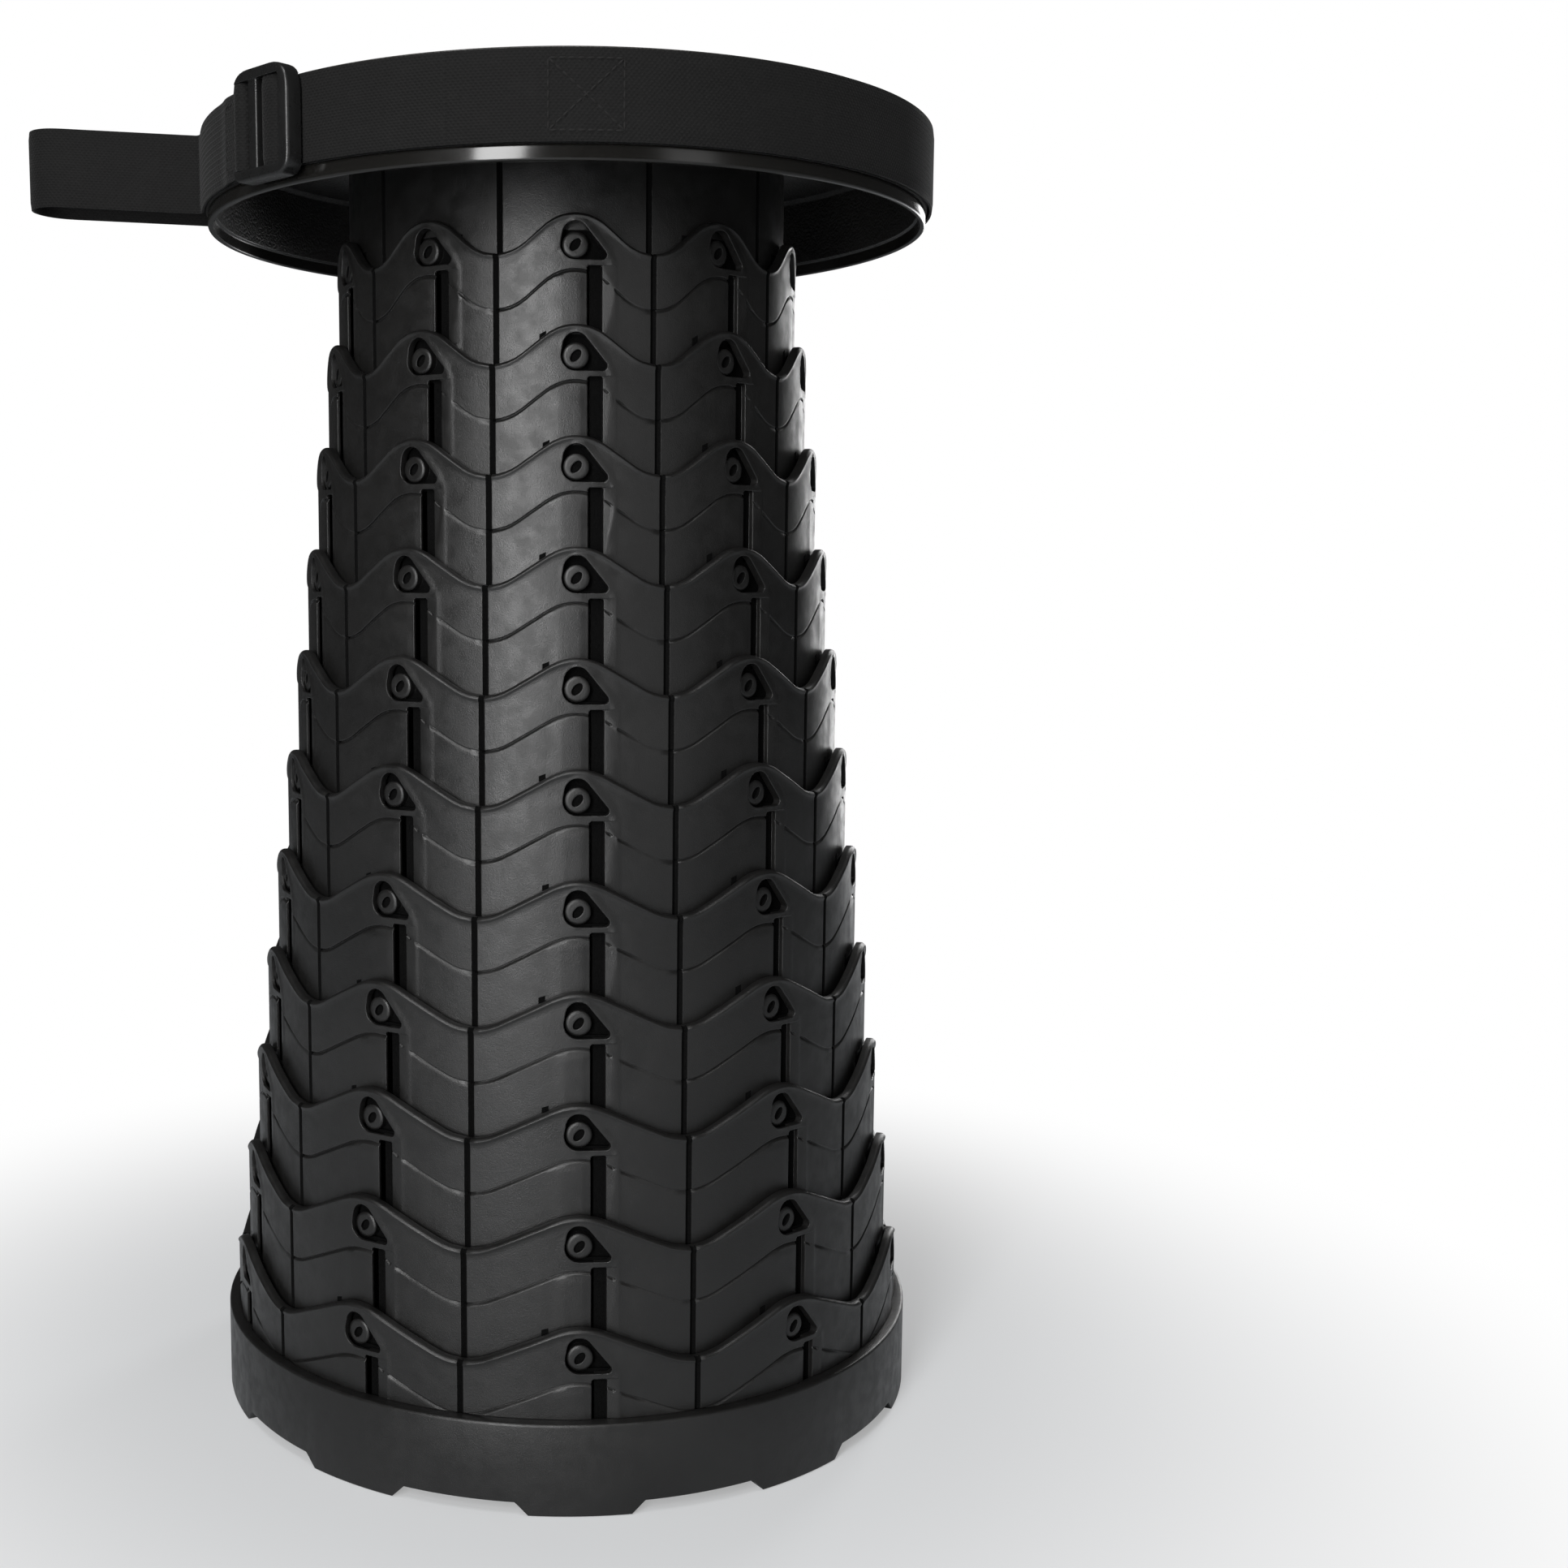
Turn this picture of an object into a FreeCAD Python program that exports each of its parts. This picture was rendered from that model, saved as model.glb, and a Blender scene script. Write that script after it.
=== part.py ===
"""Telescopic camp stool: nested wave-topped rings on a broad foot, under a round seat with a carry strap.

Millimetres, +Z up. The origin is the centre of the foot, on the floor. The front is -Y.
The stool is modelled drawn out to its full height. Angles are in degrees, from the front towards +X.
"""
import FreeCAD
import Part
import math
import os

from FreeCAD import Vector

# ---- Driving dimensions -------------------------------------------------------------------------

# Stack of rings
RING_COUNT = 12
COLUMN_COUNT = 10
STAGE_TRAVEL = 34.7
BASE_RING_RADIUS = 121.8
RING_STEP = 4.1
RING_WALL = 2.6
RING_FLOOR = 8.0
WAVE_HEIGHT = 12.0
WAVE_ROUNDING = 0.6
WAVE_OVERCUT = 0.05

# Locking studs, and the windows, tracks and slots that they run in
STUD_RADIUS = 4.15
STUD_HEIGHT = 7.0
CREST_ABOVE_STUD = 9.8
STUD_DIMPLE_RADIUS = 1.6
STUD_DIMPLE_DEPTH = 0.8
WINDOW_CLEARANCE = 0.6
WINDOW_ARCH_RISE = 3.0
WINDOW_ARCH_STEP = 0.55
WINDOW_TAIL_REACH = 8.5
WINDOW_TAIL_RADIUS = 1.5
TRACK_CLEARANCE = 0.45
TRACK_SKIN = 1.0
STUD_END_CLEARANCE = 0.25
SLOT_WIDTH = 5.0
SLOT_BAR = 1.65
SLOT_SKIN = 0.5
SLOT_GAP = 0.55
SLOT_FOOT = 12.0
SLOT_FLANK = 2.3
SLOT_FLANK_DEPTH = 1.7

# Guide collar round the bottom of each ring
COLLAR_HEIGHT = 3.0
COLLAR_CLEARANCE = 0.35

# Foot band, feet and bottom plate
BAND_STAND = 3.8
BAND_WALL = 2.4
FOOT_HEIGHT = 4.2
FOOT_WIDTH = 33.0
FOOT_LENGTH = 13.6
SHELF_WIDTH = 23.8
SHELF_THICKNESS = 2.4
PLATE_THICKNESS = 2.5
PLATE_GAP = 0.4
PLATE_RIB_HEIGHT = 1.2
PLATE_RIB_WIDTH = 1.8
PLATE_RING_RIB_RADIUS = 60.0

# Seat
SEAT_PLATE = 2.6
SEAT_CLEARANCE = 0.6
RIM_CLEARANCE = 0.5
RIM_WALL = 2.1
RIM_FLANGE = 0.8
RIM_FLANGE_HEIGHT = 1.1
LIP_HEIGHT = 4.7
LIP_STAND = 1.0
LIP_STEP = 1.1
LIP_STRAP_GAP = 0.2
SEAT_EDGE_ROUND = 0.7
HUB_RIB_HEIGHT = 9.0
HUB_RIB_WIDTH = 1.8
SEAT_FLANGE_WIDTH = 14.0
SEAT_FLANGE_THICKNESS = 2.5
BOSS_RADIUS = 4.0
BOSS_END_GAP = 1.0

# Centre cap with two finger wells
CAP_RADIUS = 46.3
CAP_GAP = 0.3
CAP_THICKNESS = 1.5
CAP_LEDGE = 4.5
WELL_SPACING = 54.7
WELL_RADIUS = 11.3
WELL_ROUND_DEPTH = 4.0
WELL_SQUARE = 15.0
WELL_DEPTH = 13.0
WELL_WALL = 2.0
WELL_BEAD = 0.5

# Screws
SCREW_COUNT = 5
SCREW_RADIUS = 1.5
SCREW_PILOT_GAP = 0.02
SCREW_HOLE_GAP = 0.3
SCREW_HEAD_RADIUS = 3.3
SCREW_HEAD_HEIGHT = 1.7
SCREW_RECESS = 0.9

# Carry strap of flat webbing
STRAP_WIDTH = 26.0
STRAP_THICKNESS = 1.4
STRAP_GAP = 0.3
TAIL_GAP = 5.4
TAIL_END = 178.0
LOOP_ANGLE = -88.0
LOOP_WIDTH = 24.0
LOOP_LENGTH = 61.0
LOOP_LIFT = 2.0
RIVET_ANGLE = -113.0
RIVET_DROP = 4.2
RIVET_SPACING = 9.0
RIVET_RADIUS = 1.3
RIVET_HEAD_RADIUS = 2.4
RIVET_HEAD_HEIGHT = 1.0
RIVET_RECESS_GAP = 0.1

# Ladder-lock buckle
BUCKLE_ANGLE = -46.5
BUCKLE_LENGTH = 28.0
BUCKLE_THICKNESS = 6.4
BUCKLE_STAND = 0.9
BUCKLE_BAR_COUNT = 4
BUCKLE_SLOT = 3.6
BUCKLE_STRAP_PLAY = 0.4
BUCKLE_RAIL = 3.4
BUCKLE_CORNER = 6.0

# ---- Worked-out sizes ---------------------------------------------------------------------------

COLUMN_PITCH = 360.0 / COLUMN_COUNT
STUD_TOP_HEIGHT = STUD_HEIGHT + STAGE_TRAVEL
RING_HEIGHT = STUD_TOP_HEIGHT + CREST_ABOVE_STUD
RING_GAP = RING_STEP - RING_WALL
WINDOW_RADIUS = STUD_RADIUS + WINDOW_CLEARANCE
RIM_DEPTH = RIM_FLANGE_HEIGHT + STRAP_WIDTH + LIP_STRAP_GAP + LIP_HEIGHT
RIM_TOP = RING_FLOOR + RING_HEIGHT + SEAT_CLEARANCE + SEAT_PLATE + STAGE_TRAVEL * (RING_COUNT - 1)
RIM_BOTTOM = RIM_TOP - RIM_DEPTH
SEAT_UNDERSIDE = RIM_TOP - SEAT_PLATE
RIM_INNER_RADIUS = BASE_RING_RADIUS + RIM_CLEARANCE
RIM_RADIUS = RIM_INNER_RADIUS + RIM_WALL
STRAP_TOP = RIM_TOP - RIM_FLANGE_HEIGHT
STRAP_MIDDLE = STRAP_TOP - STRAP_WIDTH / 2
STRAP_INNER_RADIUS = RIM_RADIUS + STRAP_GAP
STRAP_RADIUS = STRAP_INNER_RADIUS + STRAP_THICKNESS
TAIL_INNER_RADIUS = STRAP_RADIUS + STRAP_GAP
TAIL_START = BUCKLE_ANGLE + math.degrees((BUCKLE_LENGTH / 2 + TAIL_GAP) / STRAP_RADIUS)
LOOP_REACH = STRAP_RADIUS + LOOP_LENGTH
BUCKLE_HEIGHT = STRAP_WIDTH + BUCKLE_STRAP_PLAY + 2 * BUCKLE_RAIL
RIVET_RECESS = RIVET_HEAD_HEIGHT + RIVET_RECESS_GAP
BAND_RADIUS = BASE_RING_RADIUS + BAND_STAND
BAND_TOP = RING_FLOOR + RING_HEIGHT + SEAT_PLATE - RIM_DEPTH
FOOT_INNER_RADIUS = BAND_RADIUS - FOOT_LENGTH
SHELF_INNER_RADIUS = BASE_RING_RADIUS - SHELF_WIDTH
PLATE_SCREW_RADIUS = (FOOT_INNER_RADIUS + SHELF_INNER_RADIUS) / 2
SHELF_BOTTOM = RING_FLOOR - SEAT_CLEARANCE - SHELF_THICKNESS
OVERSHOOT = 4.0


def ring_radius(number):
    """Outer radius of a ring; number 1 carries the seat and the last one is the foot."""
    return BASE_RING_RADIUS - RING_STEP * (RING_COUNT - number)


def ring_bottom(number):
    """Height of a ring's bottom edge with the stool drawn out."""
    return RING_FLOOR + STAGE_TRAVEL * (RING_COUNT - number)


def tube(outer, inner, low, high):
    solid = Part.makeCylinder(outer, high - low, Vector(0, 0, low))
    bore = Part.makeCylinder(inner, high - low + 2 * OVERSHOOT, Vector(0, 0, low - OVERSHOOT))
    return solid.cut(bore)


def disc(radius, low, high, x=0.0, y=0.0):
    return Part.makeCylinder(radius, high - low, Vector(x, y, low))


def block(x_range, y_range, z_range):
    """Box between two values on each axis."""
    corner = Vector(x_range[0], y_range[0], z_range[0])
    return Part.makeBox(x_range[1] - x_range[0], y_range[1] - y_range[0], z_range[1] - z_range[0], corner)


def facing(shape, angle):
    """Turn a shape drawn facing +X, with +Y to its right, so that it faces outwards at an angle."""
    turned = shape.copy()
    turned.rotate(Vector(0, 0, 0), Vector(0, 0, 1), angle - 90.0)
    return turned


def round_the_ring(shape, count, first=0.0):
    """Copies of a shape drawn facing +X, evenly spaced round the axis."""
    return [facing(shape, first + 360.0 * index / count) for index in range(count)]


def outward_rod(radius, near, far, y, z):
    """Cylinder along +X."""
    return Part.makeCylinder(radius, far - near, Vector(near, y, z), Vector(1, 0, 0))


def wave_punch(radius, peak):
    """Cutter for one trough of the wavy top edge, drawn facing +X at the trough."""
    half = (radius - RING_WALL / 2) * math.sin(math.radians(COLUMN_PITCH / 2))
    bend = WAVE_ROUNDING * half
    rise = WAVE_HEIGHT
    top = peak + WAVE_OVERCUT
    slope = math.asin(2 * bend / math.hypot(half, rise - 2 * bend)) + math.atan2(rise - 2 * bend, half)
    near = (radius - RING_WALL) * math.cos(math.radians(COLUMN_PITCH / 2)) - OVERSHOOT

    def crest_point(turn):
        return Vector(near, half - bend * math.sin(turn), top - bend * (1 - math.cos(turn)))

    def trough_point(turn):
        return Vector(near, bend * math.sin(turn), top - rise + bend * (1 - math.cos(turn)))

    def mirrored(point):
        return Vector(point.x, -point.y, point.z)

    crest = [crest_point(0.0), crest_point(slope / 2), crest_point(slope)]
    trough = [trough_point(slope), trough_point(0.0), mirrored(trough_point(slope))]
    other = [mirrored(point) for point in reversed(crest)]
    roof = [Vector(near, -half, top + OVERSHOOT), Vector(near, half, top + OVERSHOOT)]
    edges = [
        Part.Arc(*crest).toShape(),
        Part.makeLine(crest[2], trough[0]),
        Part.Arc(*trough).toShape(),
        Part.makeLine(trough[2], other[0]),
        Part.Arc(*other).toShape(),
        Part.makeLine(other[2], roof[0]),
        Part.makeLine(roof[0], roof[1]),
        Part.makeLine(roof[1], crest[0]),
    ]
    face = Part.Face(Part.Wire(edges))
    return face.extrude(Vector(radius - near + OVERSHOOT, 0, 0))


def tangent_strip(near, far, first, second):
    """Prism between the outer tangents of two circles; each circle is (y, z, radius)."""
    run = Vector(0, second[0] - first[0], second[1] - first[1])
    lean = math.acos((first[2] - second[2]) / run.Length)
    heading = math.atan2(run.z, run.y)
    corners = []
    for circle, side in ((first, 1), (second, 1), (second, -1), (first, -1)):
        turn = heading + side * lean
        y = circle[0] + circle[2] * math.cos(turn)
        z = circle[1] + circle[2] * math.sin(turn)
        corners.append(Vector(near, y, z))
    return Part.Face(Part.makePolygon(corners + corners[:1])).extrude(Vector(far - near, 0, 0))


def stud_window(near, far, level):
    """Window round a stud: a teardrop that is round on the left and runs out to a tail on the right."""
    tail_level = level - WINDOW_RADIUS + WINDOW_TAIL_RADIUS
    middle = (0.0, level, WINDOW_RADIUS)
    arch = (0.0, level + WINDOW_ARCH_RISE, WINDOW_RADIUS - WINDOW_ARCH_STEP)
    tail = (WINDOW_TAIL_REACH, tail_level, WINDOW_TAIL_RADIUS)
    rods = [outward_rod(radius, near, far, y, z) for y, z, radius in (middle, arch, tail)]
    strips = [tangent_strip(near, far, *pair) for pair in ((middle, arch), (arch, tail), (middle, tail))]
    return rods[0].fuse(rods[1:] + strips)


def stud_ways(radius, bottom):
    """Cutter for one column: the stud's window, its blind track and the slot beside it."""
    level = bottom + STUD_TOP_HEIGHT
    near = radius - RING_WALL - OVERSHOOT
    far = radius + OVERSHOOT
    track_half = STUD_RADIUS + TRACK_CLEARANCE
    track_far = radius - TRACK_SKIN
    slot_left = STUD_RADIUS - SLOT_GAP
    slot_right = slot_left + SLOT_WIDTH
    slot_top = level - WINDOW_RADIUS - SLOT_BAR
    window = stud_window(near, far, level)
    track = block((near, track_far), (-track_half, track_half), (bottom - OVERSHOOT, level))
    track_end = outward_rod(track_half, near, track_far, 0.0, level)
    slot_floor = radius - RING_WALL + SLOT_SKIN
    slot = block((slot_floor, far), (slot_left, slot_right), (bottom + SLOT_FOOT, slot_top))
    flank = slot_flank(radius, slot_right, bottom + SLOT_FOOT, slot_top)
    return window.fuse([track, track_end, slot, flank])


def slot_flank(radius, edge, low, high):
    """Cutter for the bevelled side of a slot."""
    slope = SLOT_FLANK / SLOT_FLANK_DEPTH
    outside = radius + OVERSHOOT
    corners = [
        Vector(radius - SLOT_FLANK_DEPTH, edge, low),
        Vector(outside, edge + slope * (OVERSHOOT + SLOT_FLANK_DEPTH), low),
        Vector(outside, edge - SLOT_WIDTH / 2, low),
        Vector(radius - SLOT_FLANK_DEPTH, edge - SLOT_WIDTH / 2, low),
    ]
    return Part.Face(Part.makePolygon(corners + corners[:1])).extrude(Vector(0, 0, high - low))


def stud(radius, bottom):
    """Stud on a ring, standing out into the next ring's track."""
    level = bottom + STUD_HEIGHT
    root = radius - TRACK_SKIN / 2
    tip = radius + RING_STEP - TRACK_SKIN - STUD_END_CLEARANCE
    post = outward_rod(STUD_RADIUS, root, tip, 0.0, level)
    dimple = outward_rod(STUD_DIMPLE_RADIUS, tip - STUD_DIMPLE_DEPTH, tip + OVERSHOOT, 0.0, level)
    return post.cut(dimple)


def collar(radius, bottom):
    stand = RING_GAP - COLLAR_CLEARANCE
    return tube(radius + stand, radius - RING_WALL / 2, bottom, bottom + COLLAR_HEIGHT)


def wavy_ring(number, blank):
    """Cut the wavy top edge and the stud ways into a plain tube."""
    radius = ring_radius(number)
    bottom = ring_bottom(number)
    punches = round_the_ring(wave_punch(radius, bottom + RING_HEIGHT), COLUMN_COUNT, COLUMN_PITCH / 2)
    ways = round_the_ring(stud_ways(radius, bottom), COLUMN_COUNT)
    return blank.cut(punches + ways)


def with_studs(number, ring):
    studs = round_the_ring(stud(ring_radius(number), ring_bottom(number)), COLUMN_COUNT)
    return ring.fuse(studs)


def middle_ring(number):
    radius = ring_radius(number)
    bottom = ring_bottom(number)
    blank = tube(radius, radius - RING_WALL, bottom, bottom + RING_HEIGHT)
    blank = blank.fuse(collar(radius, bottom))
    return with_studs(number, wavy_ring(number, blank))


# ---- Foot ---------------------------------------------------------------------------------------


def foot_pad():
    """One foot under the band, with bevelled ends, drawn facing +X."""
    half = FOOT_WIDTH / 2
    top_half = half + FOOT_HEIGHT
    top = SHELF_BOTTOM + SHELF_THICKNESS
    corners = [
        Vector(0, -half, 0),
        Vector(0, half, 0),
        Vector(0, top_half, FOOT_HEIGHT),
        Vector(0, top_half, top),
        Vector(0, -top_half, top),
        Vector(0, -top_half, FOOT_HEIGHT),
    ]
    wedge = Part.Face(Part.makePolygon(corners + corners[:1])).extrude(Vector(BAND_RADIUS + OVERSHOOT, 0, 0))
    return wedge.common(tube(BAND_RADIUS, FOOT_INNER_RADIUS, 0, top))


def base_ring():
    radius = ring_radius(RING_COUNT)
    peak = RING_FLOOR + RING_HEIGHT
    wall = wavy_ring(RING_COUNT, tube(radius, radius - RING_WALL, SHELF_BOTTOM, peak))
    skirt = tube(BAND_RADIUS, BAND_RADIUS - BAND_WALL, FOOT_HEIGHT, BAND_TOP)
    ledge = tube(BAND_RADIUS, radius - TRACK_SKIN / 2, BAND_TOP - BAND_WALL, BAND_TOP)
    shelf = tube(radius - RING_WALL / 2, SHELF_INNER_RADIUS, SHELF_BOTTOM, SHELF_BOTTOM + SHELF_THICKNESS)
    body = wall.fuse([skirt, ledge, shelf] + round_the_ring(foot_pad(), COLUMN_COUNT))
    pilots = round_the_ring(screw_pilot(PLATE_SCREW_RADIUS, SHELF_BOTTOM, SHELF_THICKNESS), SCREW_COUNT)
    return body.cut(pilots).removeSplitter()


def screw_pilot(pitch_radius, low, depth):
    """Pilot hole that a screw's thread bites in, drawn facing +X."""
    return disc(SCREW_RADIUS + SCREW_PILOT_GAP, low - OVERSHOOT, low + depth + OVERSHOOT, pitch_radius)


def base_plate():
    top = SHELF_BOTTOM
    low = top - PLATE_THICKNESS
    radius = FOOT_INNER_RADIUS - PLATE_GAP
    rib_low = low - PLATE_RIB_HEIGHT
    ring_rib = tube(PLATE_RING_RIB_RADIUS + PLATE_RIB_WIDTH, PLATE_RING_RIB_RADIUS, rib_low, low)
    rib_end = PLATE_SCREW_RADIUS - 2 * SCREW_HEAD_RADIUS
    half = PLATE_RIB_WIDTH / 2
    rib = block((PLATE_RING_RIB_RADIUS + half, rib_end), (-half, half), (rib_low, low))
    plate = disc(radius, low, top).fuse([ring_rib] + round_the_ring(rib, COLUMN_COUNT, COLUMN_PITCH / 2))
    hole = disc(SCREW_RADIUS + SCREW_HOLE_GAP, low - OVERSHOOT, top + OVERSHOOT, PLATE_SCREW_RADIUS)
    recess_radius = SCREW_HEAD_RADIUS + SCREW_HOLE_GAP
    recess = disc(recess_radius, low - OVERSHOOT, low + SCREW_RECESS, PLATE_SCREW_RADIUS)
    return plate.cut(round_the_ring(hole.fuse(recess), SCREW_COUNT)).removeSplitter()


def screw(pitch_radius, seat_level, length):
    """Pan-head screw pointing up, with its head under seat_level, drawn facing +X."""
    head = disc(SCREW_HEAD_RADIUS, seat_level - SCREW_HEAD_HEIGHT, seat_level, pitch_radius)
    shank = disc(SCREW_RADIUS, seat_level - SCREW_HEAD_HEIGHT / 2, seat_level + length, pitch_radius)
    socket_low = seat_level - SCREW_HEAD_HEIGHT
    half = SCREW_RADIUS / 4
    arm = SCREW_HEAD_RADIUS / 2
    span = (socket_low - OVERSHOOT, socket_low + SCREW_HEAD_HEIGHT / 2)
    cross = block((pitch_radius - arm, pitch_radius + arm), (-half, half), span)
    cross = cross.fuse(block((pitch_radius - half, pitch_radius + half), (-arm, arm), span))
    return head.fuse(shank).cut(cross)


def base_screws():
    seat_level = SHELF_BOTTOM - PLATE_THICKNESS + SCREW_RECESS
    length = PLATE_THICKNESS - SCREW_RECESS + SHELF_THICKNESS - SCREW_HOLE_GAP
    return Part.makeCompound(round_the_ring(screw(PLATE_SCREW_RADIUS, seat_level, length), SCREW_COUNT))


# ---- Seat ---------------------------------------------------------------------------------------


def seat_tube():
    """Innermost ring, with a flange at its top that the seat's screws go through."""
    radius = ring_radius(1)
    bottom = ring_bottom(1)
    inner = radius - RING_WALL
    wall = tube(radius, inner, bottom, SEAT_UNDERSIDE)
    flange_top = SEAT_UNDERSIDE - HUB_RIB_HEIGHT
    flange_low = flange_top - SEAT_FLANGE_THICKNESS
    flange = tube(radius - RING_WALL / 2, inner - SEAT_FLANGE_WIDTH, flange_low, flange_top)
    hole = disc(SCREW_RADIUS + SCREW_HOLE_GAP, bottom, SEAT_UNDERSIDE, seat_screw_radius())
    body = wall.fuse([collar(radius, bottom), flange])
    body = body.cut(round_the_ring(hole, SCREW_COUNT, COLUMN_PITCH / 2))
    return with_studs(1, body).removeSplitter()


def seat_screw_radius():
    return ring_radius(1) - RING_WALL - SEAT_FLANGE_WIDTH / 2


def seat_profile():
    """Half section of the seat's plate and rim, in the XZ plane."""
    flange_radius = RIM_RADIUS + RIM_FLANGE
    lip_radius = RIM_RADIUS + LIP_STAND
    lip_top = RIM_BOTTOM + LIP_HEIGHT
    lip_inner = RIM_INNER_RADIUS + LIP_STEP
    corners = [
        (0, RIM_TOP),
        (flange_radius, RIM_TOP),
        (flange_radius, RIM_TOP - RIM_FLANGE_HEIGHT),
        (RIM_RADIUS, RIM_TOP - RIM_FLANGE_HEIGHT),
        (RIM_RADIUS, lip_top),
        (lip_radius, lip_top),
        (lip_radius, RIM_BOTTOM),
        (lip_inner, RIM_BOTTOM),
        (lip_inner, lip_top),
        (RIM_INNER_RADIUS, lip_top),
        (RIM_INNER_RADIUS, SEAT_UNDERSIDE),
        (0, SEAT_UNDERSIDE),
    ]
    points = [Vector(x, 0, z) for x, z in corners]
    return Part.Face(Part.makePolygon(points + points[:1]))


def rounded_rim(shell):
    """Round the outer edges of the seat's top flange and of the lip's bottom."""
    targets = [(RIM_RADIUS + RIM_FLANGE, RIM_TOP), (RIM_RADIUS + LIP_STAND, RIM_BOTTOM)]
    edges = []
    for edge in shell.Edges:
        if not isinstance(edge.Curve, Part.Circle):
            continue
        place = (edge.Curve.Radius, edge.Curve.Center.z)
        if any(math.dist(place, target) < 0.01 for target in targets):
            edges.append(edge)
    return shell.makeFillet(SEAT_EDGE_ROUND, edges)


def seat_shell():
    shell = rounded_rim(seat_profile().revolve(Vector(0, 0, 0), Vector(0, 0, 1), 360))
    low = SEAT_UNDERSIDE - HUB_RIB_HEIGHT
    half = HUB_RIB_WIDTH / 2
    hub = CAP_RADIUS
    rib_end = ring_radius(1) - RING_WALL - SCREW_HOLE_GAP
    hub_ring = tube(hub + HUB_RIB_WIDTH, hub, low, SEAT_UNDERSIDE)
    rib = block((hub + half, rib_end), (-half, half), (low, SEAT_UNDERSIDE))
    boss = disc(BOSS_RADIUS, low, SEAT_UNDERSIDE, seat_screw_radius())
    added = [hub_ring] + round_the_ring(rib, COLUMN_COUNT)
    added += round_the_ring(boss, SCREW_COUNT, COLUMN_PITCH / 2)
    shell = shell.fuse(added)
    pilot_top = SEAT_UNDERSIDE - BOSS_END_GAP
    pilot = disc(SCREW_RADIUS + SCREW_PILOT_GAP, low - OVERSHOOT, pilot_top, seat_screw_radius())
    recess = disc(CAP_RADIUS + CAP_GAP, RIM_TOP - CAP_THICKNESS, RIM_TOP + OVERSHOOT)
    opening = disc(CAP_RADIUS - CAP_LEDGE + CAP_GAP, SEAT_UNDERSIDE - OVERSHOOT, RIM_TOP + OVERSHOOT)
    cuts = [recess, opening] + round_the_ring(pilot, SCREW_COUNT, COLUMN_PITCH / 2)
    cuts += rivet_holes(RIVET_RADIUS + SCREW_PILOT_GAP, RIM_INNER_RADIUS, RIM_RADIUS + OVERSHOOT)
    recess_end = RIM_INNER_RADIUS + RIVET_RECESS
    cuts += rivet_holes(RIVET_HEAD_RADIUS + SCREW_HOLE_GAP, RIM_INNER_RADIUS - OVERSHOOT, recess_end)
    return shell.cut(cuts).removeSplitter()


def centre_cap():
    """Round cap in the middle of the seat, with two wells for the fingers that pull the stool out."""
    cap = disc(CAP_RADIUS, RIM_TOP - CAP_THICKNESS, RIM_TOP)
    cap = cap.fuse(disc(CAP_RADIUS - CAP_LEDGE, SEAT_UNDERSIDE, RIM_TOP))
    floor = RIM_TOP - WELL_DEPTH
    for side in (-1, 1):
        x = side * WELL_SPACING / 2
        cup = disc(WELL_RADIUS + WELL_WALL, floor - WELL_WALL, RIM_TOP, x)
        bead = disc(WELL_RADIUS + WELL_WALL / 2, RIM_TOP, RIM_TOP + WELL_BEAD, x)
        cap = cap.fuse([cup, bead])
    for side in (-1, 1):
        x = side * WELL_SPACING / 2
        mouth = disc(WELL_RADIUS, RIM_TOP - WELL_ROUND_DEPTH, RIM_TOP + OVERSHOOT, x)
        half = WELL_SQUARE / 2
        pit = block((x - half, x + half), (-half, half), (floor, RIM_TOP))
        cap = cap.cut(mouth.fuse(pit))
    return cap.removeSplitter()


def seat_screws():
    seat_level = SEAT_UNDERSIDE - HUB_RIB_HEIGHT - SEAT_FLANGE_THICKNESS
    length = SEAT_FLANGE_THICKNESS + HUB_RIB_HEIGHT - 2 * BOSS_END_GAP
    return Part.makeCompound(
        round_the_ring(screw(seat_screw_radius(), seat_level, length), SCREW_COUNT, COLUMN_PITCH / 2)
    )


# ---- Carry strap --------------------------------------------------------------------------------


def rivet_levels():
    return [STRAP_MIDDLE - RIVET_DROP + side * RIVET_SPACING / 2 for side in (-1, 1)]


def rivet_holes(radius, near, far):
    return [facing(outward_rod(radius, near, far, 0.0, z), RIVET_ANGLE) for z in rivet_levels()]


def strap_belt():
    """Webbing belt round the seat's rim."""
    belt = tube(STRAP_RADIUS, STRAP_INNER_RADIUS, STRAP_TOP - STRAP_WIDTH, STRAP_TOP)
    hole_radius = RIVET_RADIUS + SCREW_PILOT_GAP
    return belt.cut(rivet_holes(hole_radius, STRAP_INNER_RADIUS - OVERSHOOT, STRAP_RADIUS + OVERSHOOT))


def strap_tail():
    """Free end of the webbing, from the buckle round the front to the back, on top of the belt."""
    inner = TAIL_INNER_RADIUS
    outer = inner + STRAP_THICKNESS
    low = STRAP_TOP - STRAP_WIDTH
    start = Vector(inner, 0, low)
    section = Part.makePolygon([start, Vector(outer, 0, low), Vector(outer, 0, STRAP_TOP),
                                Vector(inner, 0, STRAP_TOP), start])
    tail = Part.Face(section).revolve(Vector(0, 0, 0), Vector(0, 0, 1), TAIL_END - TAIL_START)
    return facing(tail, TAIL_START)


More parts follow.
